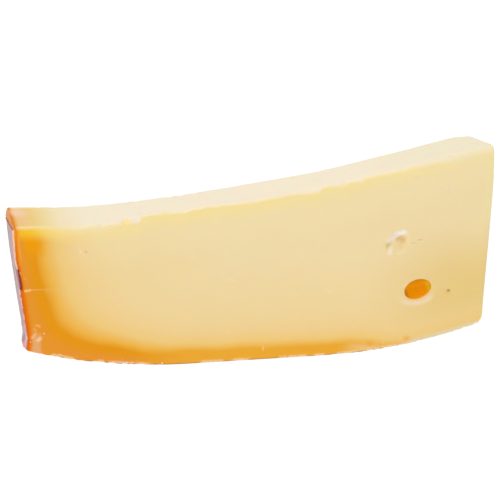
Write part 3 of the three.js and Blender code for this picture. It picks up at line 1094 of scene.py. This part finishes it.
def paste_material(colours, deep_eye, groups):
    """The cut faces: cream in the middle, amber towards the rind, and on top pale with painted light from
    above.
    """
    t, made = material("cut_paste")
    place = place_on_object(t)
    x, y, z = t.split(place)
    depths = t.split(t.stored("depths", out="Vector"))
    from_rind_end, from_top, from_foot = depths
    into = t.stored("into")
    grain = t.use(groups["grain"], {"Position": place})
    mottle = grain["Mottle"]
    wander = t.jitter(place, 22, 5, detail=2)

    # How far in from the rind a place counts as: the foot's band narrows and fades towards the tip.
    foot_rate = t.rise(x, -85, -20) * 0.85 + 1.05
    fade = t.rise(x, -70, -25) * (1.5 * MM) + t.rise(x, 32, 75) * (12 * MM)
    inward = t.math("SMOOTH_MIN", from_rind_end, from_foot * foot_rate + fade, 30 * MM)
    inward = inward + wander * t.rise(inward, 0.5, 9)
    paste = t.ramp(inward, (
        (0, colours.under_rind), (3.5, colours.under_rind), (6.5, colours.amber), (8.6, colours.amber),
        (12.3, colours.gold), (18, colours.straw), (26.5, colours.pale_straw), (38, colours.ivory),
        (85, colours.cream),
    ))
    bright = t.rise(z, 47, 55) * t.rise(inward, 3, 6) * t.rise(inward, 14.5, 9.5)
    paste = t.tint(paste, colours.bright_amber, bright * 0.9)
    by_foot = t.rise(x, -62, -25) * t.rise(inward, 14, 9)
    paste = t.tint(paste, colours.foot_amber, by_foot * 0.9)
    faded = by_foot * t.rise(x, 34, 46)
    paste = t.tint(paste, FADED_FOOT, faded)
    # Painted shade: the cut faces turn tan towards the foot of the tip end, and darken a little towards the
    # tip, where the light falls off.
    shade_low_by_tip = t.rise(x, 40, 90) * t.rise(z, 60, 28)
    shade_low_by_tip = shade_low_by_tip * (t.rise(from_foot, 3, 16) * 0.6 + 0.4)
    paste = t.tint(paste, colours.tan, shade_low_by_tip * 0.9)
    paste = t.tint(paste, COOL_SHADE_BY_TIP, t.rise(x, 30, 95), blend="MULTIPLY")
    # Painted light: the upper part of the front face is made paler, as the light from above falls on it.
    high = t.rise(from_top, 24, 6) * t.rise(inward, 14, 40)
    paste = t.tint(paste, LIT_UPPER_CREAM, high * 0.5)
    # A band just under the top edge: painted light on the rounded edge towards the tip end, and the paste's
    # own amber near the rind end.
    band = t.ramp(from_rind_end, (
        (0, rgb(242, 160, 16)), (3, colours.top_edge_gold), (8, rgb(247, 202, 60)), (15, rgb(248, 219, 130)),
        (34, colours.top_edge),
    ))
    top_band_and_sheen = t.smooth(from_top, t.rise(x, -95, -70) * (2.5 * MM) + 6.5 * MM, 1.5 * MM)
    top_band_and_sheen = top_band_and_sheen * t.rise(from_rind_end, 1, 3)
    strength = t.rise(x, -70, -90) * 0.25 + t.mix(0.72, 0.5, t.rise(x, -10, 60))
    paste = t.tint(paste, band, top_band_and_sheen * strength)
    by_tip = t.rise(x, 97, 101) * t.rise(z, 50, 62)
    paste = t.tint(paste, TIP_CREAM, by_tip * 0.5)
    paste = t.tint(paste, WARM_MOTTLE, t.smooth(mottle, 0.55, 0.8) * 0.3, blend="MULTIPLY")
    paste = t.tint(paste, COOL_MOTTLE, t.smooth(mottle, 0.42, 0.2) * 0.3, blend="MULTIPLY")
    # The top's paler colour is painted light from above.
    on_top, overlit = top_finish(t, place, colours, depths, into)
    paste = t.tint(paste, overlit, on_top)

    # The pale edge along the foot of the tip end, and dry bloom in the lower corner by the rind end and in a
    # few places along the foot.
    rubbed = t.rise(x, 60, 70) * t.rise(from_foot, 3.6, 1.4)
    rubbed = rubbed * (t.hump(x, 82, 10) * 0.35 + 0.6)
    paste = t.tint(paste, colours.bevel, rubbed)
    torn = t.jitter(place, 2.5, 1.6)
    corner = t.rise(x + torn, -92.0, -93.2) * t.rise(z + torn, 18, 14.5) * (y < 0.0)
    foot = 0.0
    for at, reach, height in DUSTY_FOOT:
        foot = foot + t.hump(x, at, reach) * t.rise(from_foot, height, 0.8)
    drawn = t.join(x * 1.6, y, z * 0.8)
    dust = {"Position": drawn, "Amount": corner * 0.3 + foot * 0.5}
    dust = t.use(groups["bloom"], dust)
    paste = t.tint(paste, DRY_CORNER, corner * 0.85)
    paste = t.tint(paste, colours.bloom, dust * 0.7)

    # The rind cut through at the rind end, and the amber spots low by the tip end.
    rim = from_rind_end + t.jitter(place, 4, 0.6)
    line = t.ramp(rim, RIND_LINE)
    line = t.tint(line, HIGH_RIND_LINE, t.rise(z, 54, 59) * t.rise(rim, 0.2, 0.7))
    line = t.tint(line, PALE_RIND_RIM, t.rise(z, 48, 52) * t.rise(rim, 0.6, 0.25))
    lit = t.hump(rim, 2.2, 0.5) * t.rise(z, 46, 52)
    paste = t.tint(paste, LIT_RIND_LINE, lit * 0.8 * (1.0 - on_top))
    narrow = t.rise(z, 33, 38) * (0.8 * MM)
    paste = t.tint(paste, line, t.rise(rim + narrow, 3.0, 1.4) * (1.0 - on_top))
    for at, height in FOOT_SPOTS:
        spot = near(t, place, mm(at, FRONT_Y, height), mm(2.6, 9, 1.9))
        paste = t.tint(paste, FOOT_SPOT, spot * 0.7)
    paste = foot_wear(t, place, colours, from_foot, paste)

    # A pale ring round the deep eye, wide below it: smeared curd, and painted light on its lower lip. An
    # orange fringe under its lower rim, painted shade under its upper rim, and the brown hollow of the small
    # pit.
    front = y < 0.0
    along, across = eye_place(deep_eye, x, z)
    reach = t.math("SQRT", (along / (deep_eye.width / 2)) ** 2.0 + (across / (deep_eye.height / 2)) ** 2.0)
    below = t.rise(across, 1, -3.5)
    ring = t.bell(reach - 1.52, 0.24) * t.rise(across, 0, -4.2) * t.rise(along, 7, 3.5) * 0.75
    ring = t.bell(reach - 1.1, 0.1) * 0.2 + ring
    paste = t.tint(paste, colours.eye_lip, ring * front)
    below_rim_fringe = t.smooth(reach, 1.2, 0.98) * below * t.rise(along, 5, 2)
    paste = t.tint(paste, EYE_FRINGE_ORANGE, below_rim_fringe * front * 0.9)
    rim_shade = t.smooth(reach, 1.12, 1.02) * t.rise(across, 0, 2)
    paste = t.tint(paste, SHADED_EYE_RIM, rim_shade * front * 0.8)
    pit = near(t, place, mm(PIT[0], FRONT_Y, PIT[1]), mm(1.5, 9, 1.2))
    smear = near(t, place, mm(PIT[0] - 0.5, FRONT_Y, PIT[1] - 0.9), mm(2.6, 9, 1.8))
    paste = t.tint(paste, colours.gold, smear * front * 0.25)
    paste = t.tint(paste, colours.pit, pit * front * 0.7)

    # The strokes lie in the plane of the front face.
    for start_x, start_z, end_x, end_z, width, shade, strength in MARKS:
        mark = t.use(groups["stroke"], {
            "Position": t.join(x, 0.0, z), "From": mm(start_x, 0, start_z), "To": mm(end_x, 0, end_z),
            "Width": width * MM,
        })
        paste = t.tint(paste, rgb(*shade), mark * front * strength)

    normal = t.bump(grain["Height"], 0.25, 0.12)
    roughness = t.mix(0.42, 0.62, t.most(on_top, dust))
    settings = {
        "Specular IOR Level": 0.05, "Subsurface Weight": 0.35, "Subsurface Scale": 1.6 * MM,
        "Subsurface Radius": PASTE_SCATTER,
    }
    finish(t, settings, paste, roughness, normal)
    return made


def rind_material(colours, groups):
    """The outside of the rind: orange-brown, with darker hollows, cloth marks and dry bloom."""
    t, made = material("rind")
    place = place_on_object(t)
    x, y, z = t.split(place)
    _, from_top, from_foot = t.split(t.stored("depths", out="Vector"))
    into = t.stored("into")
    grain = t.use(groups["grain"], {"Position": place, "Pit Size": 4 * MM})
    clouds = t.noise(place, 11, detail=5, roughness=0.6)
    folds = t.noise(place, 5, detail=5, roughness=0.62, distortion=1.2)
    hollow = t.smooth(t.size(folds - 0.5), 0.1, 0.0)
    base = t.tint(colours.rind, colours.amber, t.smooth(clouds, 0.4, 0.7) * 0.45)
    base = t.tint(base, colours.rind_dark, hollow * 0.5 + grain["Pits"] * 0.3)
    threads = t.math("SINE", (x + y * 0.15) * (2 * math.pi / CLOTH_THREAD))
    threads = threads * t.math("SINE", (y + z - x * 0.12) * (2 * math.pi / CLOTH_THREAD))
    cloth = threads * t.smooth(clouds, 0.35, 0.6)
    to_tip = t.rise(x, 50, 80)
    amount = to_tip * 0.35 + 0.38
    dust = t.use(groups["bloom"], {"Position": place, "Amount": amount})
    base = t.tint(base, colours.bevel, t.clamp(dust * 0.75 + to_tip * 0.4))
    base = t.tint(base, colours.top_rim, t.rise(from_top, 5, 3))
    base = foot_wear(t, place, colours, from_foot, base)
    front_edge = t.rise(into, 1.4, 0.9) * (y < 0.0) * t.rise(x, -80, -90)
    high = t.rise(z, 48, 52)
    base = t.tint(base, LOW_RIND_EDGE, front_edge * (1.0 - high) * 0.85)
    base = t.tint(base, HIGH_RIND_EDGE, front_edge * high)
    height = grain["Height"] * 0.6 + cloth * 0.18 - hollow * 0.5
    normal = t.bump(height, 0.6, 0.2)
    roughness = t.mix(0.5, 0.85, dust)
    finish(t, {"Specular IOR Level": 0.2}, base, roughness, normal)
    return made


def eye_material(colours, deep_eye, groups):
    """The wall of an eye: moist and deep orange inside, with painted shade in olive under its upper rim and
    painted light in yellow on its wall towards the tip end.
    """
    t, made = material("eye_wall")
    place = place_on_object(t)
    x, y, z = t.split(place)
    into = t.stored("into")
    grain = t.use(groups["grain"], {"Position": place, "Grain Size": 1.6 * MM})
    along, across = eye_place(deep_eye, x, z)
    wall = t.tint(colours.eye_rim, colours.eye_deep, t.rise(into, 1.0, 3.0))
    # Painted light: yellow on the wall towards the tip end, where the light falls into the eye.
    right = t.rise(along, 3.8, 5.2) * t.rise(across, 2.0, 0.5)
    wall = t.tint(wall, LIT_EYE_YELLOW, right * 0.8)
    # Painted shade: olive under the upper rim.
    upper = t.rise(across, 1.0, 3.0) + t.rise(along, -3.4, -4.8)
    wall = t.tint(wall, SHADED_EYE_OLIVE, t.clamp(upper) * (1.0 - right) * 0.7)
    wall = t.tint(wall, EYE_ORANGE, t.bell(across + along * 0.35, 1.0 * MM) * (1.0 - right) * 0.5)
    # By the opening the wall takes the straw of the paste. The band is wider below, where it also stands for
    # painted light on the lower wall.
    lower = t.rise(across, -1.0, -3.2)
    edge = t.smooth(into, 0.3 * MM, lower * (2.2 * MM) + 1.0 * MM)
    wall = t.tint(colours.straw, wall, edge)
    wall = t.tint(wall, colours.pit, t.rise(x, 79, 81) * (y < 0.0) * 0.9)
    normal = t.bump(grain["Height"], 0.2, 0.1)
    settings = {
        "Specular IOR Level": 0.04, "Subsurface Weight": 0.3, "Subsurface Scale": 1.2 * MM,
        "Subsurface Radius": EYE_SCATTER,
    }
    roughness = t.mix(0.3, 0.45, grain["Mottle"])
    finish(t, settings, wall, roughness, normal)
    return made


def label_material(label):
    """Glossy crimson paper, rubbed pink by its front edge and white along its rim and creases, with a painted
    highlight along the fold of its flap.
    """
    t, made = material("label_paper")
    place = place_on_object(t)
    x, y, z = t.split(place)
    rub = t.stored("rub")
    clouds = t.noise(place, 9, detail=4, roughness=0.6)
    fine = t.noise(place, 0.8, detail=4, roughness=0.7)
    shade = t.tint(label.paper, DARK_PAPER, t.smooth(clouds, 0.4, 0.7) * 0.5)
    # Pink dots near the front edge: rubbed print, and painted highlights of the glossy paper.
    handled_and_glint = t.rise(y, -14.5, -18.2) * t.rise(y, -19.0, -18.6)
    by_flap = t.rise(z, 35, 37) * t.rise(z, 48, 46)
    handled_and_glint = handled_and_glint * (1.0 - by_flap * 0.9) * t.rise(z, 8, 24)
    shade = t.tint(shade, label.pink, handled_and_glint * t.smooth(fine, 0.1, 0.4) * 0.8)
    by_foot = t.rise(z, 26, 12) * t.rise(y, -11, -17)
    shade = t.tint(shade, PALE_PAPER, by_foot * 0.65)
    # The rubbed-off print, together with the painted highlight along the flap's fold.
    worn = t.smooth(rub + (fine - 0.5) * 0.9, 0.55, 0.75)
    shade = t.tint(shade, label.worn, worn * 0.95)
    fibres = t.noise(t.join(x, y * 0.3, z), 0.5, detail=3)
    normal = t.bump(fibres, 0.15, 0.05)
    roughness = t.mix(0.22, 0.5, t.clamp(clouds + worn * 0.6))
    settings = {"Specular IOR Level": 0.45, "Coat Weight": 0.3, "Coat Roughness": 0.2}
    finish(t, settings, shade, roughness, normal)
    return made


def crumb_material(crumbs):
    """Dry pale crumbs."""
    t, made = material("dry_crumb")
    place = place_on_object(t)
    clouds = t.noise(place, 1.5, detail=3)
    shade = t.tint(crumbs.pale, DARK_CRUMB, t.smooth(clouds, 0.5, 0.8) * 0.6)
    normal = t.bump(t.noise(place, 0.4), 0.4, 0.05)
    finish(t, {"Specular IOR Level": 0.3}, shade, t.mix(0.6, 0.8, clouds), normal)
    return made


# ---------------------------------------------------------------------------------------------------------
# Pieces


def ready(piece):
    """Puts a finished piece on the part's one body."""
    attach(piece, "root")
    return piece


class MakeBlock(bpy.types.Operator):
    """Makes the block of cheese with its eyes and its rind"""

    bl_idname = "cheese_wedge.block"
    bl_label = "Cheese Block"

    def execute(self, context):
        wedge = context.scene.cheese_wedge
        groups = {"grain": fine_grain(), "bloom": bloom_dust(), "stroke": stroke()}
        materials = {
            "paste": paste_material(wedge.colours, wedge.eyes[0], groups),
            "rind": rind_material(wedge.colours, groups),
            "eye": eye_material(wedge.colours, wedge.eyes[0], groups),
        }
        block = nodes_to_mesh("cheese_block", block_tree(wedge, materials), wedge.shape, wedge.relief)
        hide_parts("cheese")
        ready(block)
        return {"FINISHED"}


def label_tree(wedge, paper):
    """The tree that makes the label: a thin sheet on the rind end that bends round its upright edges."""
    shape, relief, label = wedge.shape, wedge.relief, wedge.label
    limit_sizes = size_sockets(shape) + size_sockets(relief)
    g = Group("Paper Label", GEOMETRY, limit_sizes + size_sockets(label), [("Geometry", "Geometry")])
    named = {name: g[name] for name, _, _ in limit_sizes}
    limits_tree = bpy.data.node_groups["Wedge Limits"]
    counts = {f"Vertices {axis}": steps + 1 for axis, steps in zip("XYZ", LABEL_GRID)}
    grid = g.add("GeometryNodeMeshCube", {"Size": 1.0} | counts)
    layer, across, up = g.split(g.add("GeometryNodeInputPosition") + 0.5)

    def limits_at(y, z):
        place = g.join(g["Middle"] - g["Length"] * 0.5, y, z)
        return g.add("GeometryNodeGroup", {"Position": place} | named, node_tree=limits_tree)

    # How far along the paper each point lies from the middle of the rind end, with the front edge negative.
    limits = limits_at(0.0, MID_HEIGHT)
    flat = limits["Half Thickness"] - g["Rind End Edge Radius"]
    foot_place = g.join(g["Middle"] - g["Length"] * 0.5 + g["Rind End Inset"], 0.0, 0.0)
    foot = g.add("GeometryNodeGroup", {"Position": foot_place} | named, node_tree=limits_tree)
    low = foot["Bottom"] + g["Bottom Margin"]
    middle = (low + limits["Top"]) * 0.5
    rough_z = g.mix(low, limits["Top"] - g["Top Margin"], up)
    flap = g.smooth(rough_z, g["Flap Foot"] - 0.5 * MM, g["Flap Foot"] + 0.5 * MM)
    flap = flap * g.clamp((g["Flap Top"] - rough_z) / (g["Flap Top"] - g["Flap Foot"])) ** 0.5
    torn = g.noise(g.join(0.0, 0.0, rough_z), 5, detail=3) * (-0.4 * MM)
    wrap = g.rise(rough_z, 50, 46) * g["Wrap"]
    front_end, back_end = flat + wrap + flap * g["Flap Wrap"] + torn, flat + torn
    run = g.mix(front_end * -1.0, back_end, across)
    side = g.math("SIGN", run)
    round_edge = g.most(g.size(run) - flat, 0.0)
    turn = g.least(round_edge / g["Rind End Edge Radius"], math.pi / 2)
    on_face = g.most(round_edge - g["Rind End Edge Radius"] * (math.pi / 2), 0.0)
    y = g.clamp(run, flat * -1.0, flat)
    high = limits_at(y, MID_HEIGHT)["Top"] - g["Top Margin"] - g["Top Drop"] * (y / (flat * 2.0) + 0.5)
    z = g.mix(low, high, up)

    # The corners are cut round.
    corner_radius = 1.5 * MM
    inset_y = g.size(run) - back_end + corner_radius
    inset_z = g.size(z - middle) - (high - low) * 0.5 + corner_radius
    corner_y, corner_z = g.most(inset_y, 0.0), g.most(inset_z, 0.0)
    corner = g.math("SQRT", corner_y * corner_y + corner_z * corner_z)
    pull = g.least(corner_radius / g.most(corner, 0.01 * MM), 1.0)
    z = z - g.math("SIGN", z - middle) * corner_z * (1.0 - pull)
    inset = g.most(inset_y, inset_z)
    at_edge = g.smooth(inset, 0.2 * MM, corner_radius)
    from_rim = g.least(back_end - run, (high - low) * 0.5 - g.size(z - middle))
    at_rim = g.rise(from_rim, 0.45, 0.05)

    limits = limits_at(y, z)
    creased = g.noise(g.join(0.0, run, z), 9, detail=3, roughness=0.55, distortion=0.6)
    ridges = g.smooth(g.size(creased - 0.5), 0.09, 0.0)
    outside = g["Thickness"] + (creased + ridges) * 0.5 * g["Wrinkles"] * g.math("COSINE", turn)
    off = g.mix(outside, g["Tuck"] * -1.0, layer)
    radius = g["Rind End Edge Radius"]
    x = limits["Rind End"] + radius - (radius + off) * g.math("COSINE", turn) + on_face
    y = y + side * (radius + off) * g.math("SINE", turn)
    from_front_end = g.size(run + front_end)
    cut_edge = g.rise(from_front_end, 0.9, 0) * (1.0 - flap)
    cut_edge = cut_edge * g.mix(0.35, 0.8, g.rise(z, 46, 52))
    # Painted highlight: the ridge of the flap's fold is made pale like worn paper.
    fold_glint = g.hump(run + flat, 0.2, 0.3) * g.smooth(flap, 0.0, 0.3) * 0.35
    rub = at_edge * 0.25 + at_rim * 0.6 + ridges * 0.3 + cut_edge + fold_glint

    # The wear, with the painted highlight along the flap's fold, is stored while the sheet is still a plain
    # grid, because it reads each point's place in it.
    worn = g.store(grid, "rub", rub, "FLOAT")
    sheet = g.add("GeometryNodeSetPosition", {"Geometry": worn, "Position": g.join(x, y, z)})
    whole = g.add("GeometryNodeRealizeInstances", {"Geometry": smooth_shaded(g, sheet)})
    g.give("Geometry", g.add("GeometryNodeSetMaterial", {"Geometry": whole, "Material": paper}))
    return g


class MakeLabel(bpy.types.Operator):
    """Makes the paper label on the rind end"""

    bl_idname = "cheese_wedge.label"
    bl_label = "Paper Label"

    def execute(self, context):
        wedge = context.scene.cheese_wedge
        group = label_tree(wedge, label_material(wedge.label))
        sheet = nodes_to_mesh("label_sheet", group, wedge.shape, wedge.relief, wedge.label)
        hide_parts("label")
        ready(sheet)
        return {"FINISHED"}


def crystal_seats():
    """Loose points before the front face, one for each crystal, that know how wide it is."""
    seats = bpy.data.meshes.new("crystal_seats")
    seats.from_pydata([(x * MM, -30 * MM, z * MM) for x, z, _ in CRYSTALS], [], [])
    widths = seats.attributes.new("width", "FLOAT", "POINT")
    widths.data.foreach_set("value", [width * MM for *_, width in CRYSTALS])
    return seats


def crumb_tree(crumbs, block, dry):
    """The tree that scatters crumbs along the foot of the block and sets the crystals in its front face."""
    g = Group("Crumbs", GEOMETRY, [("Seats", "Geometry")] + size_sockets(crumbs), [("Geometry", "Geometry")])
    carrier = g.add("GeometryNodeObjectInfo", {"Object": block}, out="Geometry")
    position = g.add("GeometryNodeInputPosition")
    x, y, z = g.split(position)
    depths = g.add("GeometryNodeInputNamedAttribute", {"Name": "depths"}, data_type="FLOAT_VECTOR")
    from_foot = g.split(depths)[2]
    by_foot = g.rise(from_foot, 2.4, 1.2) * g.rise(from_foot, 0.5, 0.9)
    places = 0.0
    for at, reach in CRUMB_HEAPS:
        places = places + g.hump(x, at, reach)
    corner = g.math("LENGTH", (position - mm(-94, FRONT_Y, 12)) / mm(5, 9, 9))
    amount = by_foot * (places + 0.1) + g.smooth(corner, 1.0, 0.2) * 0.3
    clumps = g.smooth(g.noise(position, 4, detail=2), 0.42, 0.62)
    points = g.add("GeometryNodeDistributePointsOnFaces", {
        "Mesh": carrier, "Distance Min": 0.35 * MM, "Density Max": g["Density"],
        "Density Factor": g.clamp(amount * clumps) * (y < -16 * MM), "Seed": crumbs.seed,
    }, distribute_method="POISSON")
    lump = g.add("GeometryNodeMeshIcoSphere", {"Radius": 0.5, "Subdivisions": 2})
    share = g.add("FunctionNodeRandomValue", {"Seed": crumbs.seed}, out=1)
    wide = g.mix(g["Smallest"], g["Largest"], share**3.0)
    squash = {"Min": (0.7, 0.7, 0.45), "Max": (1, 1, 0.8), "Seed": crumbs.seed + 1}
    squashed = g.add("FunctionNodeRandomValue", squash, data_type="FLOAT_VECTOR")
    turn = {"Max": (0.5, 0.5, 2 * math.pi), "Seed": crumbs.seed + 2}
    turn = g.add("FunctionNodeRandomValue", turn, data_type="FLOAT_VECTOR")
    turn = g.add("FunctionNodeEulerToRotation", {"Euler": turn})
    turned = {"Rotation": points["Rotation"], "Rotate By": turn}
    scattered = g.add("GeometryNodeInstanceOnPoints", {
        "Points": points, "Instance": lump, "Scale": g.math("MULTIPLY", squashed, wide),
        "Rotation": g.add("FunctionNodeRotateRotation", turned, rotation_space="LOCAL"),
    })

    # Each crystal sits where a line straight in from its seat meets the front face, half sunk in.
    width = g.add("GeometryNodeInputNamedAttribute", {"Name": "width"}, data_type="FLOAT")
    seat = {"Target Geometry": carrier, "Source Position": position, "Ray Direction": (0, 1, 0)}
    met = g.add("GeometryNodeRaycast", seat)["Hit Position"]
    seated = g.add("GeometryNodeSetPosition", {"Geometry": g["Seats"], "Position": met})
    crystals = g.add("GeometryNodeInstanceOnPoints", {
        "Points": seated, "Instance": lump, "Scale": g.math("MULTIPLY", g.join(1.0, 0.35, 0.8), width),
    })
    joined = g.add("GeometryNodeJoinGeometry")
    for pieces in (scattered, crystals):
        g.feed(joined.socket.node.inputs[0], pieces)
    whole = g.add("GeometryNodeRealizeInstances", {"Geometry": joined})
    bumps = g.add("GeometryNodeInputNormal") * g.jitter(position, 0.5, 0.2, detail=2)
    ragged = g.add("GeometryNodeSetPosition", {"Geometry": whole, "Offset": bumps})

    # No crumb reaches into the floor.
    above = g.join(x, y, g.most(z, 0.02 * MM))
    lifted = g.add("GeometryNodeSetPosition", {"Geometry": ragged, "Position": above})
    smooth = g.add("GeometryNodeSetShadeSmooth", {"Geometry": lifted, "Shade Smooth": True})
    g.give("Geometry", g.add("GeometryNodeSetMaterial", {"Geometry": smooth, "Material": dry}))
    return g


class MakeCrumbs(bpy.types.Operator):
    """Scatters loose crumbs along the foot of the block"""

    bl_idname = "cheese_wedge.crumbs"
    bl_label = "Crumbs"

    def execute(self, context):
        crumbs = context.scene.cheese_wedge.crumbs
        block = bpy.data.objects["cheese_block"]
        group = crumb_tree(crumbs, block, crumb_material(crumbs))
        ready(nodes_to_mesh("foot_crumbs", group, crumbs, start=crystal_seats()))
        return {"FINISHED"}


# Where the large soft light stands, seen from the part, and how the picture is shifted in its frame.
KEY_DIRECTION = (-0.35, -0.34, 0.95)
CAMERA_SHIFT = (-0.008, 0.024)


class MakeStage(bpy.types.Operator):
    """Makes the floor, the light and the camera"""

    bl_idname = "cheese_wedge.stage"
    bl_label = "Stage"

    def execute(self, context):
        stage = context.scene.cheese_wedge.stage
        scene = context.scene
        half = stage.floor_width / 2
        mesh = bpy.data.meshes.new("floor")
        corners = ((-half, -half, 0), (half, -half, 0), (half, half, 0), (-half, half, 0))
        mesh.from_pydata(corners, [], [(0, 1, 2, 3)])
        floor = bpy.data.objects.new("floor", mesh)
        scene.collection.objects.link(floor)
        t, made = material("pale_floor")
        clouds = t.noise(place_on_object(t), 300, detail=2)
        shade = t.tint(stage.floor, DARK_FLOOR, clouds)
        glow = {"Emission Strength": stage.floor_glow, "Emission Color": (1, 1, 1)}
        settings = {"Specular IOR Level": 0.0} | glow
        finish(t, settings, shade, t.mix(0.8, 0.9, clouds))
        mesh.materials.append(made)
        floor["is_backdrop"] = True

        world = bpy.data.worlds.new("white_room")
        world.use_nodes = True
        background = world.node_tree.nodes["Background"]
        background.inputs["Color"].default_value = (1, 1, 1, 1)
        background.inputs["Strength"].default_value = stage.room_light
        scene.world = world
        scene.view_settings.view_transform = "Standard"

        target = Vector(stage.target)
        key = bpy.data.lights.new("key_light", "SUN")
        key.energy = stage.key_light
        key.angle = stage.key_softness
        lamp = bpy.data.objects.new("key_light", key)
        lamp.rotation_euler = Vector(KEY_DIRECTION).to_track_quat("Z", "Y").to_euler()
        scene.collection.objects.link(lamp)

        back = Vector((
            math.sin(stage.azimuth) * math.cos(stage.elevation),
            -math.cos(stage.azimuth) * math.cos(stage.elevation),
            math.sin(stage.elevation),
        ))
        data = bpy.data.cameras.new("camera")
        data.lens = stage.lens
        data.sensor_width = 36
        data.shift_x, data.shift_y = CAMERA_SHIFT
        data.clip_end = 20
        camera = bpy.data.objects.new("camera", data)
        camera.location = target + back * stage.distance
        camera.rotation_euler = back.to_track_quat("Z", "Y").to_euler()
        scene.collection.objects.link(camera)
        scene.camera = camera
        return {"FINISHED"}


class WedgePanel(bpy.types.Panel):
    """Sizes, colours and pieces of the cheese wedge"""

    bl_idname = "VIEW3D_PT_cheese_wedge"
    bl_label = "Cheese Wedge"
    bl_space_type = "VIEW_3D"
    bl_region_type = "UI"
    bl_category = "Cheese Wedge"

    def draw(self, context):
        wedge = context.scene.cheese_wedge
        for operator, *names in (
            (MakeBlock, "shape", "relief", "colours"), (MakeLabel, "label"), (MakeCrumbs, "crumbs"),
            (MakeStage, "stage"),
        ):
            box = self.layout.box()
            for name in names:
                settings = getattr(wedge, name)
                for prop in settings.bl_rna.properties:
                    if prop.identifier not in ("rna_type", "name"):
                        box.prop(settings, prop.identifier)
            box.operator(operator.bl_idname)


CLASSES = (
    WedgeShape, WedgeRelief, Eye, WedgeColours, LabelShape, CrumbSettings, StageSettings, Wedge,
    MakeBlock, MakeLabel, MakeCrumbs, MakeStage, WedgePanel,
)


def register():
    for made in CLASSES:
        bpy.utils.register_class(made)
    bpy.types.Scene.cheese_wedge = PointerProperty(type=Wedge)


def unregister():
    del bpy.types.Scene.cheese_wedge
    for made in reversed(CLASSES):
        bpy.utils.unregister_class(made)


def add_eyes(wedge):
    """Fills in the eyes of the wedge."""
    for back, x, z, width, height, tilt, depth, setback in EYES:
        eye = wedge.eyes.add()
        eye.back, eye.tilt = back, math.radians(tilt)
        eye.x, eye.z, eye.width, eye.height, eye.depth, eye.setback = mm(x, z, width, height, depth, setback)


def main():
    register()
    add_eyes(bpy.context.scene.cheese_wedge)
    bpy.ops.cheese_wedge.block()
    bpy.ops.cheese_wedge.label()
    bpy.ops.cheese_wedge.crumbs()
    bpy.ops.cheese_wedge.stage()
    boxes = {"cad": CAD_BOX, "visual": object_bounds()}
    {name: [list(corner) for corner in box] for name, box in boxes.items()}


if __name__ == "__main__":
    main()
